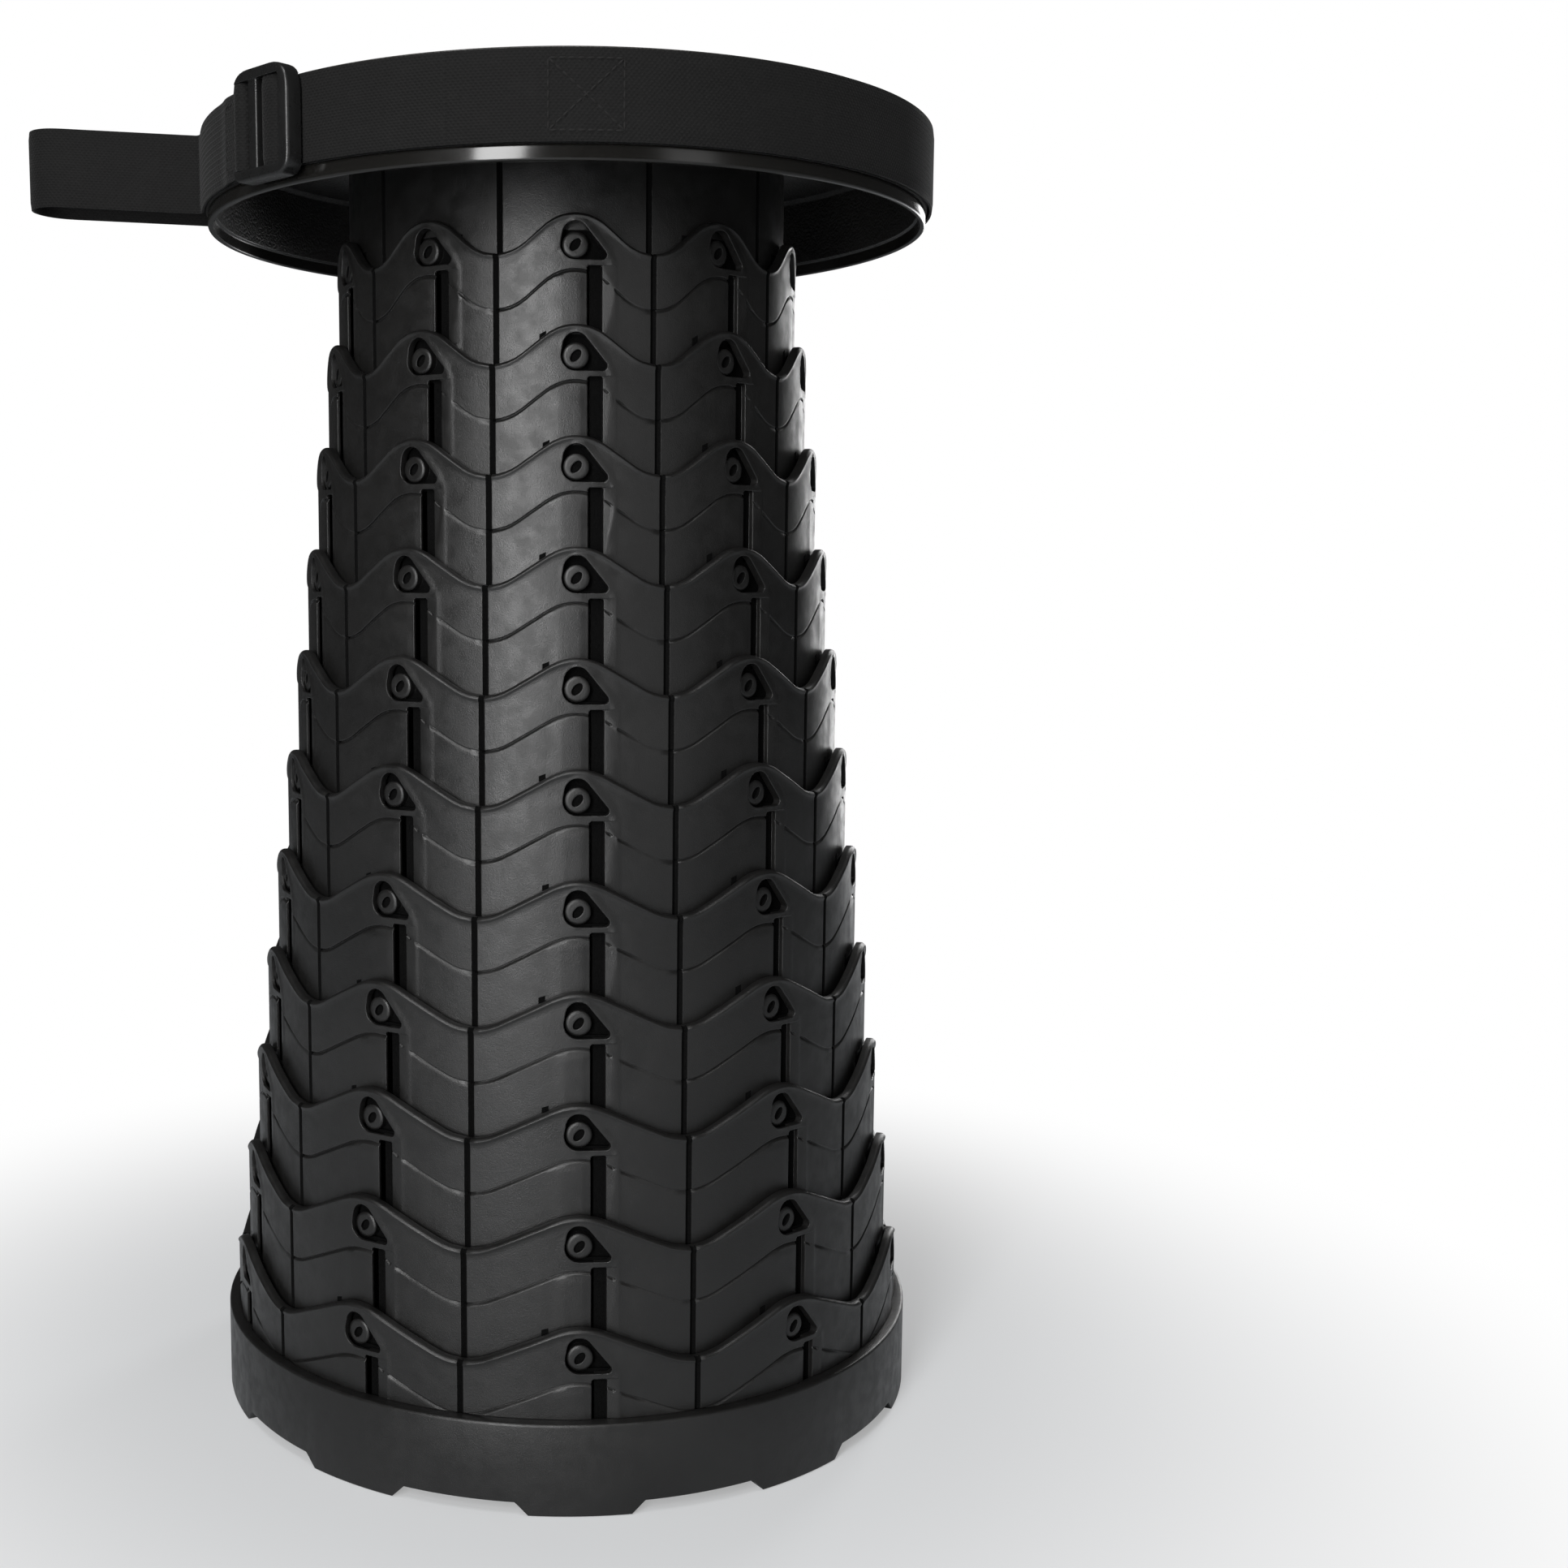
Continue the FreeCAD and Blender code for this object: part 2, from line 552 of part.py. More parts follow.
def handle_loop():
    """Carry loop: webbing standing on edge, in a U that leaves the belt, rises a little and comes back."""
    low = STRAP_TOP - STRAP_WIDTH
    half = LOOP_WIDTH / 2

    def u_shape(reach):
        bend = LOOP_REACH - half
        legs = block((RIM_INNER_RADIUS, bend), (-reach, reach), (low, STRAP_TOP))
        return legs.fuse(disc(reach, low, STRAP_TOP, bend))

    loop = u_shape(half).cut(u_shape(half - STRAP_THICKNESS)).removeSplitter()
    loop.rotate(Vector(STRAP_RADIUS, 0, STRAP_MIDDLE), Vector(0, 1, 0), -LOOP_LIFT)
    core = disc(TAIL_INNER_RADIUS, RIM_BOTTOM - OVERSHOOT, RIM_TOP + OVERSHOOT)
    return facing(loop.cut(core), LOOP_ANGLE)


def strap_rivets():
    """Two rivets that hold the belt to the rim beside the loop; their inner heads lie in recesses."""
    rivets = []
    for z in rivet_levels():
        inner_face = RIM_INNER_RADIUS + RIVET_RECESS - SCREW_PILOT_GAP
        outer_face = STRAP_RADIUS + STRAP_GAP / 2
        shank = outward_rod(RIVET_RADIUS, inner_face - RIVET_HEAD_HEIGHT / 2, outer_face, 0.0, z)
        inner_head = outward_rod(RIVET_HEAD_RADIUS, inner_face - RIVET_HEAD_HEIGHT, inner_face, 0.0, z)
        outer_head = outward_rod(RIVET_HEAD_RADIUS, outer_face, outer_face + RIVET_HEAD_HEIGHT, 0.0, z)
        rivets.append(facing(shank.fuse([inner_head, outer_head]), RIVET_ANGLE))
    return Part.makeCompound(rivets)


def buckle():
    """Ladder-lock buckle, pivoting at its rounded end: a frame with upright bars."""
    bar_axis = STRAP_RADIUS + BUCKLE_STAND + BUCKLE_THICKNESS / 2
    half_thick = BUCKLE_THICKNESS / 2
    back = -BUCKLE_LENGTH / 2
    front = BUCKLE_LENGTH / 2
    low = STRAP_MIDDLE - BUCKLE_HEIGHT / 2
    pivot = back + half_thick
    span = (bar_axis - half_thick, bar_axis + half_thick)
    plate = block(span, (pivot, front), (low, low + BUCKLE_HEIGHT))
    upright = [edge for edge in plate.Edges if corner_edge(edge, front)]
    plate = plate.makeFillet(BUCKLE_CORNER, upright)
    roll = Part.makeCylinder(half_thick, BUCKLE_HEIGHT, Vector(bar_axis, pivot, low))
    body = plate.fuse(roll)
    bars = BUCKLE_BAR_COUNT
    pitch = (BUCKLE_LENGTH - BUCKLE_SLOT * (bars - 1)) / bars + BUCKLE_SLOT
    slots = []
    for index in range(1, bars):
        left = back + index * pitch - BUCKLE_SLOT
        slots.append(block((span[0] - OVERSHOOT, span[1] + OVERSHOOT), (left, left + BUCKLE_SLOT),
                           (low + BUCKLE_RAIL, low + BUCKLE_HEIGHT - BUCKLE_RAIL)))
    return facing(body.cut(slots).removeSplitter(), BUCKLE_ANGLE)


def corner_edge(edge, front):
    """True for the two edges along X at the buckle's free end."""
    first, last = edge.Vertexes[0].Point, edge.Vertexes[-1].Point
    along_x = abs(first.y - last.y) < 0.01 and abs(first.z - last.z) < 0.01
    return along_x and abs(first.y - front) < 0.01


# ---- Export -------------------------------------------------------------------------------------


def all_nodes():
    nodes = {
        "base_ring": base_ring(),
        "base_plate": base_plate(),
        "base_screws": base_screws(),
    }
    for number in range(RING_COUNT - 1, 1, -1):
        nodes[f"ring_{number:02d}"] = middle_ring(number)
    nodes.update({
        "seat_tube": seat_tube(),
        "seat_shell": seat_shell(),
        "centre_cap": centre_cap(),
        "seat_screws": seat_screws(),
        "strap_belt": strap_belt(),
        "strap_tail": strap_tail(),
        "handle_loop": handle_loop(),
        "strap_rivets": strap_rivets(),
        "buckle": buckle(),
    })
    return nodes


os.makedirs("parts", exist_ok=True)
for name, shape in all_nodes().items():
    shape.exportStep(f"parts/{name}.step")
    print(f"{name}: {len(shape.Solids)} solids, {shape.Volume:.1f} mm3, valid {shape.isValid()}")
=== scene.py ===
"""Telescopic camp stool: nested wave-topped rings, a round pebbled seat and a webbing carry strap.

The pieces are drawn in millimetres and scaled to metres when they are finished.
Angles are in degrees from the front (-Y) towards +X.
"""
import bmesh
import bpy
import math

from mathutils import Matrix, Vector


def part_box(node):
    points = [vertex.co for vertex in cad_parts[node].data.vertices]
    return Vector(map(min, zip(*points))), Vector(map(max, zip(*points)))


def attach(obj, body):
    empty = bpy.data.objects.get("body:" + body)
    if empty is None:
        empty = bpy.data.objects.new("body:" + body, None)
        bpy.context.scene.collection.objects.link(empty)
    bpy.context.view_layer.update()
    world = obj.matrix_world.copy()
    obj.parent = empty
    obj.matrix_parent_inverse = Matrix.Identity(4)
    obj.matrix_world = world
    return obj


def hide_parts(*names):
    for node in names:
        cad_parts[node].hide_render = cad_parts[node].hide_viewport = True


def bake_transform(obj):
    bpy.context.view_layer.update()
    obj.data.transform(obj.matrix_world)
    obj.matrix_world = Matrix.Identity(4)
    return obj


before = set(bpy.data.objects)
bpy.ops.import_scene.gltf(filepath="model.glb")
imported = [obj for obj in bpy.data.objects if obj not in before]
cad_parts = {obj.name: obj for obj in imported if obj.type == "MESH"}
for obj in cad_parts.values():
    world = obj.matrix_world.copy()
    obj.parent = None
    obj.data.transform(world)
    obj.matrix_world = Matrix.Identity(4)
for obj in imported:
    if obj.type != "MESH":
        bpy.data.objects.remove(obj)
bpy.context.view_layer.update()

MM = 0.001

# ---- Ring mouldings -----------------------------------------------------------------------------

COLUMNS = 10
RING_COUNT = 12
COLUMN_PITCH = 360.0 / COLUMNS
WALL = 2.6
WAVE_HEIGHT = 12.0
WAVE_ROUNDING = 0.6
COLLAR_HEIGHT = 3.0
COLLAR_STAND = 1.15
STUD_RADIUS = 4.15
STUD_STAND = 2.85
STUD_FROM_BOTTOM = 7.0
STUD_FROM_PEAK = 9.8
TRACK_HALF = 4.6
TRACK_SKIN = 1.0
SLOT_SKIN = 0.5

LIP_ROUND = 1.0
LIP_BEAD = 0.4
LIP_WIDTH = 2.2
GROOVE_DEPTH = 0.85
GROOVE_STEP = 0.25
GROOVE_BEVEL = 1.0
GROOVE_DROP = 17.2
SEAM_HALF = 0.5
SEAM_DEPTH = 0.8
SLOT_LEFT = 3.6
SLOT_RIGHT = 8.6
SLOT_TOP = -6.4
SLOT_FOOT = 12.0
WINDOW_CIRCLES = ((0.0, 0.0, 4.75), (0.0, 3.0, 4.2), (8.5, -3.25, 1.5))
SLOT_FLANK = 2.5
FLANK_DEPTH = 0.4
# Patch of each ring's wall behind the next ring's window that gets painted shade: half width and height, in
# mm.
SHADE_HALF = 11.5
SHADE_TOP = 14.0
WALL_SAMPLE = 8.0
SQUEEZE_FROM = 24.0
PAD_LEFT = -7.5
PAD_TOP = -9.5
PAD_STAND = 0.2
RIB_STAND = 0.28
TUBE_FLANGE = (430.3, 432.8)
TUBE_FLANGE_REACH = 16.6
RIB_WIDTH = 1.9


def mm_box(node):
    """Corners of a CAD node, in millimetres."""
    low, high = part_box(node)
    return low / MM, high / MM


def wall_radius(node, low, high):
    """Largest radius of a CAD node between two heights, in millimetres."""
    points = [vertex.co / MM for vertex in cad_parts[node].data.vertices]
    return max(math.hypot(p.x, p.y) for p in points if low <= p.z <= high)


def around(angle, radius, height=0.0):
    """Point at an angle from the front."""
    turn = math.radians(angle)
    return Vector((radius * math.sin(turn), -radius * math.cos(turn), height))


def smooth_step(value):
    value = min(max(value, 0.0), 1.0)
    return value * value * (3 - 2 * value)


# ---- Materials ----------------------------------------------------------------------------------


class Finish:
    """A node material with short calls for the nodes that its pattern needs."""

    def __init__(self, name, colour, roughness, specular=0.5):
        self.material = bpy.data.materials.new(name)
        self.material.use_nodes = True
        self.tree = self.material.node_tree
        self.shader = self.tree.nodes["Principled BSDF"]
        self.shader.inputs["Base Color"].default_value = (*colour, 1)
        self.shader.inputs["Roughness"].default_value = roughness
        self.shader.inputs["Specular IOR Level"].default_value = specular

    def node(self, kind, **values):
        """Add a node; keywords set its properties, or its sockets when they start with in_."""
        made = self.tree.nodes.new("ShaderNode" + kind)
        for key, value in values.items():
            if key.startswith("in_"):
                self.feed(made.inputs[self.socket_name(made, key[3:])], value)
            else:
                setattr(made, key, value)
        return made

    @staticmethod
    def socket_name(made, key):
        if key.isdigit():
            return int(key)
        return next(s.name for s in made.inputs if s.name.replace(" ", "_").lower() == key)

    def feed(self, socket, value):
        if isinstance(value, bpy.types.NodeSocket):
            self.tree.links.new(value, socket)
        else:
            socket.default_value = value

    def set(self, name, value):
        self.feed(self.shader.inputs[name], value)

    def place(self, kind="Object"):
        return self.node("TexCoord").outputs[kind]

    def noise(self, scale, detail=2.0, roughness=0.5, vector=None):
        made = self.node("TexNoise", in_scale=scale, in_detail=detail, in_roughness=roughness)
        self.feed(made.inputs["Vector"], vector or self.place())
        return made.outputs["Fac"]

    def cells(self, scale, feature="F1", vector=None, smoothness=None):
        made = self.node("TexVoronoi", feature=feature, in_scale=scale)
        if smoothness is not None:
            made.inputs["Smoothness"].default_value = smoothness
        self.feed(made.inputs["Vector"], vector or self.place())
        return made.outputs["Distance"]

    def ramp(self, value, low, high, out_low=0.0, out_high=1.0):
        made = self.node("MapRange", interpolation_type="SMOOTHSTEP")
        for key, item in zip(("Value", "From Min", "From Max", "To Min", "To Max"),
                             (value, low, high, out_low, out_high)):
            self.feed(made.inputs[key], item)
        return made.outputs["Result"]

    def maths(self, operation, first, second=0.0):
        made = self.node("Math", operation=operation)
        self.feed(made.inputs[0], first)
        self.feed(made.inputs[1], second)
        return made.outputs[0]

    def blend(self, factor, first, second):
        """Mix two colours."""
        made = self.node("Mix", data_type="RGBA")
        self.feed(made.inputs["Factor"], factor)
        for socket, colour in ((made.inputs[6], first), (made.inputs[7], second)):
            self.feed(socket, (*colour, 1) if isinstance(colour, tuple) else colour)
        return made.outputs[2]

    def bump(self, height, distance, strength=1.0, normal=None):
        made = self.node("Bump", in_distance=distance, in_strength=strength, in_height=height)
        if normal is not None:
            self.feed(made.inputs["Normal"], normal)
        return made.outputs["Normal"]

    def soft_edges(self, radius):
        """Normal that rounds sharp edges by a radius, in metres."""
        return self.node("Bevel", samples=6, in_radius=radius).outputs["Normal"]

    def edge_mask(self, radius):
        """1 along edges, 0 on open faces."""
        bent = self.soft_edges(radius)
        flat = self.node("NewGeometry").outputs["Normal"]
        dot = self.node("VectorMath", operation="DOT_PRODUCT")
        self.feed(dot.inputs[0], bent)
        self.feed(dot.inputs[1], flat)
        return self.ramp(dot.outputs["Value"], 0.985, 0.86)


def moulded_plastic(name, colour, roughness, grain=0.00007, edge_radius=0.0005):
    """Satin moulded plastic: fine spark grain, faint flow mottling, shinier edges painted lighter, partly
    wear and partly painted edge highlight.
    """
    finish = Finish(name, colour, roughness)
    fine = finish.noise(2600, 3, 0.6)
    mottle = finish.noise(190, 3, 0.55)
    cloud = finish.noise(26, 2, 0.5)
    edge = finish.edge_mask(edge_radius)
    shade = tuple(c * 1.45 for c in colour)
    tone = finish.blend(finish.ramp(cloud, 0.35, 0.7), colour, shade)
    # Edges lightened in colour: partly wear, partly a painted highlight along the rounded edges.
    worn_and_highlit = finish.blend(finish.maths("MULTIPLY", edge, 0.5), tone, tuple(c * 2.5 + 0.004 for c in colour))
    finish.set("Base Color", worn_and_highlit)
    rough = finish.ramp(mottle, 0.3, 0.7, roughness - 0.06, roughness + 0.07)
    rough = finish.maths("SUBTRACT", rough, finish.maths("MULTIPLY", edge, 0.08))
    finish.set("Roughness", rough)
    height = finish.maths("ADD", fine, finish.maths("MULTIPLY", mottle, 1.3))
    finish.set("Normal", finish.bump(height, grain, 1.0, finish.soft_edges(edge_radius)))
    return finish.material


def pebbled_seat(name, colour, top, lip_top=None):
    """Pebbled seat plastic, greyer on its top face, with edges painted lighter, partly wear and partly
    painted edge highlight; the lip below lip_top is smooth and glossy.
    """
    finish = Finish(name, colour, 0.5)
    pebble = finish.cells(1150, "SMOOTH_F1", smoothness=0.45)
    broad = finish.noise(420, 3, 0.6)
    fine = finish.noise(3000, 2, 0.6)
    cloud = finish.noise(22, 3, 0.55)
    height = finish.maths("ADD", finish.maths("MULTIPLY", pebble, -1.3), finish.maths("MULTIPLY", broad, 0.9))
    height = finish.maths("ADD", height, finish.maths("MULTIPLY", fine, 0.25))
    edge = finish.edge_mask(0.0006)
    light = finish.ramp(pebble, 0.0, 0.5, 1.0, 0.0)
    level = finish.node("SeparateXYZ", in_vector=finish.place()).outputs["Z"]
    dark = finish.blend(light, colour, tuple(c * 1.6 for c in colour))
    pale = finish.blend(light, tuple(c * 3.0 for c in colour), tuple(c * 5.2 for c in colour))
    tone = finish.blend(finish.ramp(level, top - 0.0012, top - 0.0004), dark, pale)
    # Edges lightened in colour: partly wear, partly a painted highlight along the rounded edges.
    tone = finish.blend(finish.maths("MULTIPLY", edge, 0.5), tone, tuple(c * 2.4 + 0.01 for c in colour))
    finish.set("Base Color", tone)
    rough = finish.ramp(cloud, 0.3, 0.7, 0.43, 0.56)
    if lip_top is not None:
        smooth = finish.ramp(level, lip_top + 0.0003, lip_top)
        grainy = finish.maths("SUBTRACT", 1.0, smooth)
        rough = finish.maths("SUBTRACT", rough, finish.maths("MULTIPLY", smooth, 0.33))
        height = finish.maths("MULTIPLY", height, grainy)
    finish.set("Roughness", rough)
    finish.set("Normal", finish.bump(height, 0.00022, 0.9, finish.soft_edges(0.0006)))
    return finish.material


def ribbed_webbing(name, colour):
    """Woven webbing: fine lengthwise yarns in the geometry's cross ribs, with loose fibres and lint."""
    finish = Finish(name, colour, 0.72, 0.2)
    finish.shader.inputs["Sheen Weight"].default_value = 0.05
    finish.shader.inputs["Sheen Roughness"].default_value = 0.45
    flat = finish.place("UV")
    parts = finish.node("SeparateXYZ", in_vector=flat)
    along, across = parts.outputs["X"], parts.outputs["Y"]
    yarn = finish.maths("SINE", finish.maths("MULTIPLY", across, 2 * math.pi / 0.0085))
    pick = finish.maths("SINE", finish.maths("MULTIPLY", along, 2 * math.pi / 0.015))
    over = finish.maths("SINE", finish.maths("MULTIPLY", across, math.pi / 0.0085))
    weave = finish.maths("ADD", finish.maths("MULTIPLY", yarn, 0.5), finish.maths("MULTIPLY", pick, over))
    fibre = finish.noise(1400, 4, 0.65, flat)
    patch = finish.noise(9, 3, 0.6, flat)
    dark, pale = tuple(c * 0.55 for c in colour), tuple(c * 1.6 for c in colour)
    tone = finish.blend(finish.ramp(weave, -1.2, 1.3), dark, pale)
    tone = finish.blend(finish.ramp(patch, 0.45, 0.75, 0.0, 0.35), tone, tuple(c * 2.2 for c in colour))
    finish.set("Base Color", tone)
    finish.set("Roughness", finish.ramp(fibre, 0.3, 0.7, 0.62, 0.85))
    height = finish.maths("ADD", finish.maths("MULTIPLY", weave, 0.6), fibre)
    finish.set("Normal", finish.bump(height, 0.00012, 0.8))
    return finish.material


def painted_shade_recess(name, colour):
    """Painted shade: near-black sparked matt finish put on slot floors, seams, stud dimples and the walls
    behind the windows, where shade falls.
    """
    finish = Finish(name, colour, 0.9, 0.05)
    spark = finish.noise(1800, 3, 0.6)
    pale = tuple(c * 1.8 for c in colour)
    finish.set("Base Color", finish.blend(finish.ramp(spark, 0.3, 0.7), colour, pale))
    finish.set("Normal", finish.bump(spark, 0.00008))
    return finish.material


def plain_metal(name, colour, roughness):
    """Plated or blackened steel with fine turning marks and faint stains."""
    finish = Finish(name, colour, roughness)
    finish.shader.inputs["Metallic"].default_value = 1.0
    scratch = finish.noise(2200, 3, 0.7)
    stain = finish.noise(160, 3, 0.6)
    dark = tuple(c * 0.6 for c in colour)
    finish.set("Base Color", finish.blend(finish.ramp(stain, 0.35, 0.75), colour, dark))
    finish.set("Roughness", finish.ramp(stain, 0.3, 0.7, roughness - 0.08, roughness + 0.12))
    finish.set("Normal", finish.bump(scratch, 0.00003, 0.6, finish.soft_edges(0.0002)))
    return finish.material


# ---- Mesh helpers -------------------------------------------------------------------------------


def mark_sharp(bm, angle=38.0):
    limit = math.radians(angle)
    for face in bm.faces:
        face.smooth = True
    for edge in bm.edges:
        edge.smooth = not (len(edge.link_faces) == 2 and edge.calc_face_angle(0) > limit)


def make_piece(bm, name, body, material, replaces=(), sharp=38.0, recalc=True):
    """Scale a finished millimetre mesh to metres and add it to the scene."""
    bmesh.ops.scale(bm, vec=(MM, MM, MM), verts=bm.verts)
    if recalc:
        bmesh.ops.recalc_face_normals(bm, faces=bm.faces)
    mark_sharp(bm, sharp)
    mesh = bpy.data.meshes.new(name)
    bm.to_mesh(mesh)
    bm.free()
    piece = bpy.data.objects.new(name, mesh)
    bpy.context.scene.collection.objects.link(piece)
    for finish in material if isinstance(material, tuple) else (material,):
        piece.data.materials.append(finish)
    if body:
        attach(piece, body)
    if replaces:
        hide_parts(*replaces)
    return piece


def scratch_object(bm, name):
    mesh = bpy.data.meshes.new(name)
    bm.to_mesh(mesh)
    bm.free()
    made = bpy.data.objects.new(name, mesh)
    bpy.context.scene.collection.objects.link(made)
    return made


def combine(target_bm, other_bm, operation):
    """Boolean of two closed meshes, which are used up."""
    target = scratch_object(target_bm, "target")
    other = scratch_object(other_bm, "other")
    modifier = target.modifiers.new("combine", "BOOLEAN")
    modifier.object = other
    modifier.operation = operation
    modifier.solver = "EXACT"
    graph = bpy.context.evaluated_depsgraph_get()
    result = bmesh.new()
    result.from_mesh(target.evaluated_get(graph).to_mesh())
    for used in (target, other):
        mesh = used.data
        bpy.data.objects.remove(used)
        bpy.data.meshes.remove(mesh)
    return result


def cut_away(target_bm, cutter_bm):
    return combine(target_bm, cutter_bm, "DIFFERENCE")


def join_solids(first_bm, second_bm):
    return combine(first_bm, second_bm, "UNION")


def prism(bm, outline, near, far):
    """Closed prism of an (x, z) outline between two y values."""
    verts = [bm.verts.new((x, near, z)) for x, z in outline]
    face = bm.faces.new(verts)
    grown = bmesh.ops.extrude_face_region(bm, geom=[face])["geom"]
    moved = [item for item in grown if isinstance(item, bmesh.types.BMVert)]
    bmesh.ops.translate(bm, verts=moved, vec=(0, far - near, 0))
    bmesh.ops.recalc_face_normals(bm, faces=bm.faces)


def arc_points(x, z, radius, start, stop, steps):
    """Points of an arc in the (x, z) plane; angles in degrees, from +x towards +z."""
    turns = [math.radians(start + (stop - start) * i / steps) for i in range(steps + 1)]
    return [(x + radius * math.cos(t), z + radius * math.sin(t)) for t in turns]


# ---- Rings --------------------------------------------------------------------------------------


def wave_shape(half):
    """Function of the distance from a crest that gives the drop of the wavy edge below the crest."""
    bend = WAVE_ROUNDING * half
    slope = math.asin(2 * bend / math.hypot(half, WAVE_HEIGHT - 2 * bend))
    slope += math.atan2(WAVE_HEIGHT - 2 * bend, half)
    arc_run = bend * math.sin(slope)

    def drop(u):
        away = abs(u)
        if away < arc_run:
            return bend - math.sqrt(bend * bend - away * away)
        if away > half - arc_run:
            left = max(half - away, 0.0)
            return WAVE_HEIGHT - bend + math.sqrt(bend * bend - left * left)
        return bend * (1 - math.cos(slope)) + (away - arc_run) * math.tan(slope)

    return drop


def pocket_outline():
    """Teardrop window that a stud shows in, about the stud's centre: the hull of three circles."""
    points = []
    for x, z, radius in WINDOW_CIRCLES:
        points += arc_points(x, z, radius, 0, 345, 23)
    bm = bmesh.new()
    verts = [bm.verts.new((x, 0, z)) for x, z in points]
    made = bmesh.ops.convex_hull(bm, input=verts)
    loose = [item for item in made["geom_interior"] if isinstance(item, bmesh.types.BMVert)]
    bmesh.ops.delete(bm, geom=loose, context="VERTS")
    middle = Vector((1.5, 0, 0))
    hull = sorted((v.co.copy() for v in bm.verts), key=lambda p: math.atan2(p.z - middle.z, p.x - middle.x))
    bm.free()
    return [(p.x, p.z) for p in hull]


def outline_distance(outline, x, z):
    """Distance from a point to a closed outline."""
    best = 1e9
    for (ax, az), (bx, bz) in zip(outline, outline[1:] + outline[:1]):
        dx, dz = bx - ax, bz - az
        along = ((x - ax) * dx + (z - az) * dz) / (dx * dx + dz * dz)
        along = min(max(along, 0.0), 1.0)
        best = min(best, math.hypot(x - ax - along * dx, z - az - along * dz))
    return best


def graded(low, high, fine_low, fine_high, fine, coarse):
    """Cut positions from low to high, closely spaced between the two fine limits."""
    cuts = []
    at = low
    while at < high - 1e-6:
        at += fine if fine_low - 1e-6 <= at < fine_high else coarse
        cuts.append(at)
    return [c for c in cuts if c < high - 0.4 * fine]


def flat_panel(half, height, plain):
    """Flat sheet for one column, cut into the rows and columns that its details need."""
    bm = bmesh.new()
    bmesh.ops.create_grid(bm, x_segments=1, y_segments=1, size=0.5)
    bmesh.ops.scale(bm, vec=(2 * half, height, 1), verts=bm.verts)
    bmesh.ops.translate(bm, vec=(0, -height / 2, 0), verts=bm.verts)
    seams = [-half + SEAM_HALF, half - SEAM_HALF]
    columns = graded(-half + 3, half - 3, -6.5, 14.5, 1.0, 2.2) + seams
    columns += [-half + 2 * SEAM_HALF, half - 2 * SEAM_HALF, -half + 3, SLOT_LEFT, SLOT_RIGHT]
    rows = [COLLAR_HEIGHT - height, COLLAR_HEIGHT - height + 0.02, COLLAR_HEIGHT * 2 - height]
    if plain:
        rows += graded(-height + 8, -1.0, 0, 0, 4.0, 4.0)
    else:
        rows += [-0.12, -0.35, -0.65, -1.0, -1.4, -1.8, -LIP_WIDTH]
        rows += [-GROOVE_DROP, -GROOVE_DROP - GROOVE_STEP, -GROOVE_DROP - GROOVE_STEP - GROOVE_BEVEL]
        rows += graded(-height + 8, -LIP_WIDTH - 0.4, -23.5, 0, 1.05, 3.0)
    for x in columns:
        cut_sheet(bm, (x, 0, 0), (1, 0, 0))
    for y in rows:
        cut_sheet(bm, (0, y, 0), (0, 1, 0))
    bmesh.ops.remove_doubles(bm, verts=bm.verts, dist=0.01)
    return bm


def cut_sheet(bm, point, normal):
    geometry = bm.verts[:] + bm.edges[:] + bm.faces[:]
    bmesh.ops.bisect_plane(bm, geom=geometry, dist=1e-4, plane_co=point, plane_no=normal)


def seam_dip(u, half):
    """Depth of the moulded seam between two columns."""
    from_seam = half - abs(u)
    return SEAM_DEPTH * max(0.0, 1 - from_seam / (2 * SEAM_HALF))


def lip_offset(drop):
    """Section of the rounded, slightly beaded lip along the wavy edge."""
    if drop < LIP_ROUND:
        return math.sqrt(LIP_ROUND ** 2 - (LIP_ROUND - drop) ** 2) - LIP_ROUND + LIP_BEAD * drop / LIP_ROUND
    return LIP_BEAD * (1 - smooth_step((drop - LIP_ROUND) / (LIP_WIDTH - LIP_ROUND)))


def groove_dip(u, down, half):
    """Depth of the second groove, which copies the wavy edge: a step down, then a long bevel."""
    below = down - GROOVE_DROP
    if below <= 1e-3 or below >= GROOVE_STEP + GROOVE_BEVEL - 1e-3:
        return 0.0
    share = below / GROOVE_STEP if below < GROOVE_STEP else 1 - (below - GROOVE_STEP) / GROOVE_BEVEL
    strength = 1.0
    if u > SLOT_RIGHT + SLOT_FLANK:
        reach = (u - SLOT_RIGHT - SLOT_FLANK) / (half - SLOT_RIGHT - SLOT_FLANK)
        strength = 0.85 if reach < 0.3 else 0.25
    return GROOVE_DEPTH * strength * min(share, 1.0)


def shape_panel(bm, half, height, plain):
    """Give the flat sheet its wavy top, lip, grooves and ribs: x along, y outwards, z up."""
    drop = wave_shape(half)
    outline = pocket_outline()
    stud_level = height - STUD_FROM_PEAK
    for vert in bm.verts:
        u, down = vert.co.x, -vert.co.y
        fall = 0.0 if plain else drop(u)
        ease = (height - down) / (height - SQUEEZE_FROM) if down > SQUEEZE_FROM else 1.0
        z = height - down - fall * ease
        offset = -seam_dip(u, half)
        if height - down < COLLAR_HEIGHT + 0.01:
            offset = COLLAR_STAND
        elif not plain:
            offset += lip_offset(down)
            offset -= groove_dip(u, down, half)
            x, above = u, z - stud_level
            if down > LIP_ROUND and above > -40:
                offset = max(offset, rib_stand(outline, x, above))
                if PAD_LEFT < x < SLOT_LEFT - 0.5 and above < PAD_TOP:
                    side = min(x - PAD_LEFT, SLOT_LEFT - 0.5 - x)
                    offset += PAD_STAND * smooth_step(side / 1.6) * smooth_step((PAD_TOP - above) / 1.5)
        vert.co = Vector((u, offset, z))


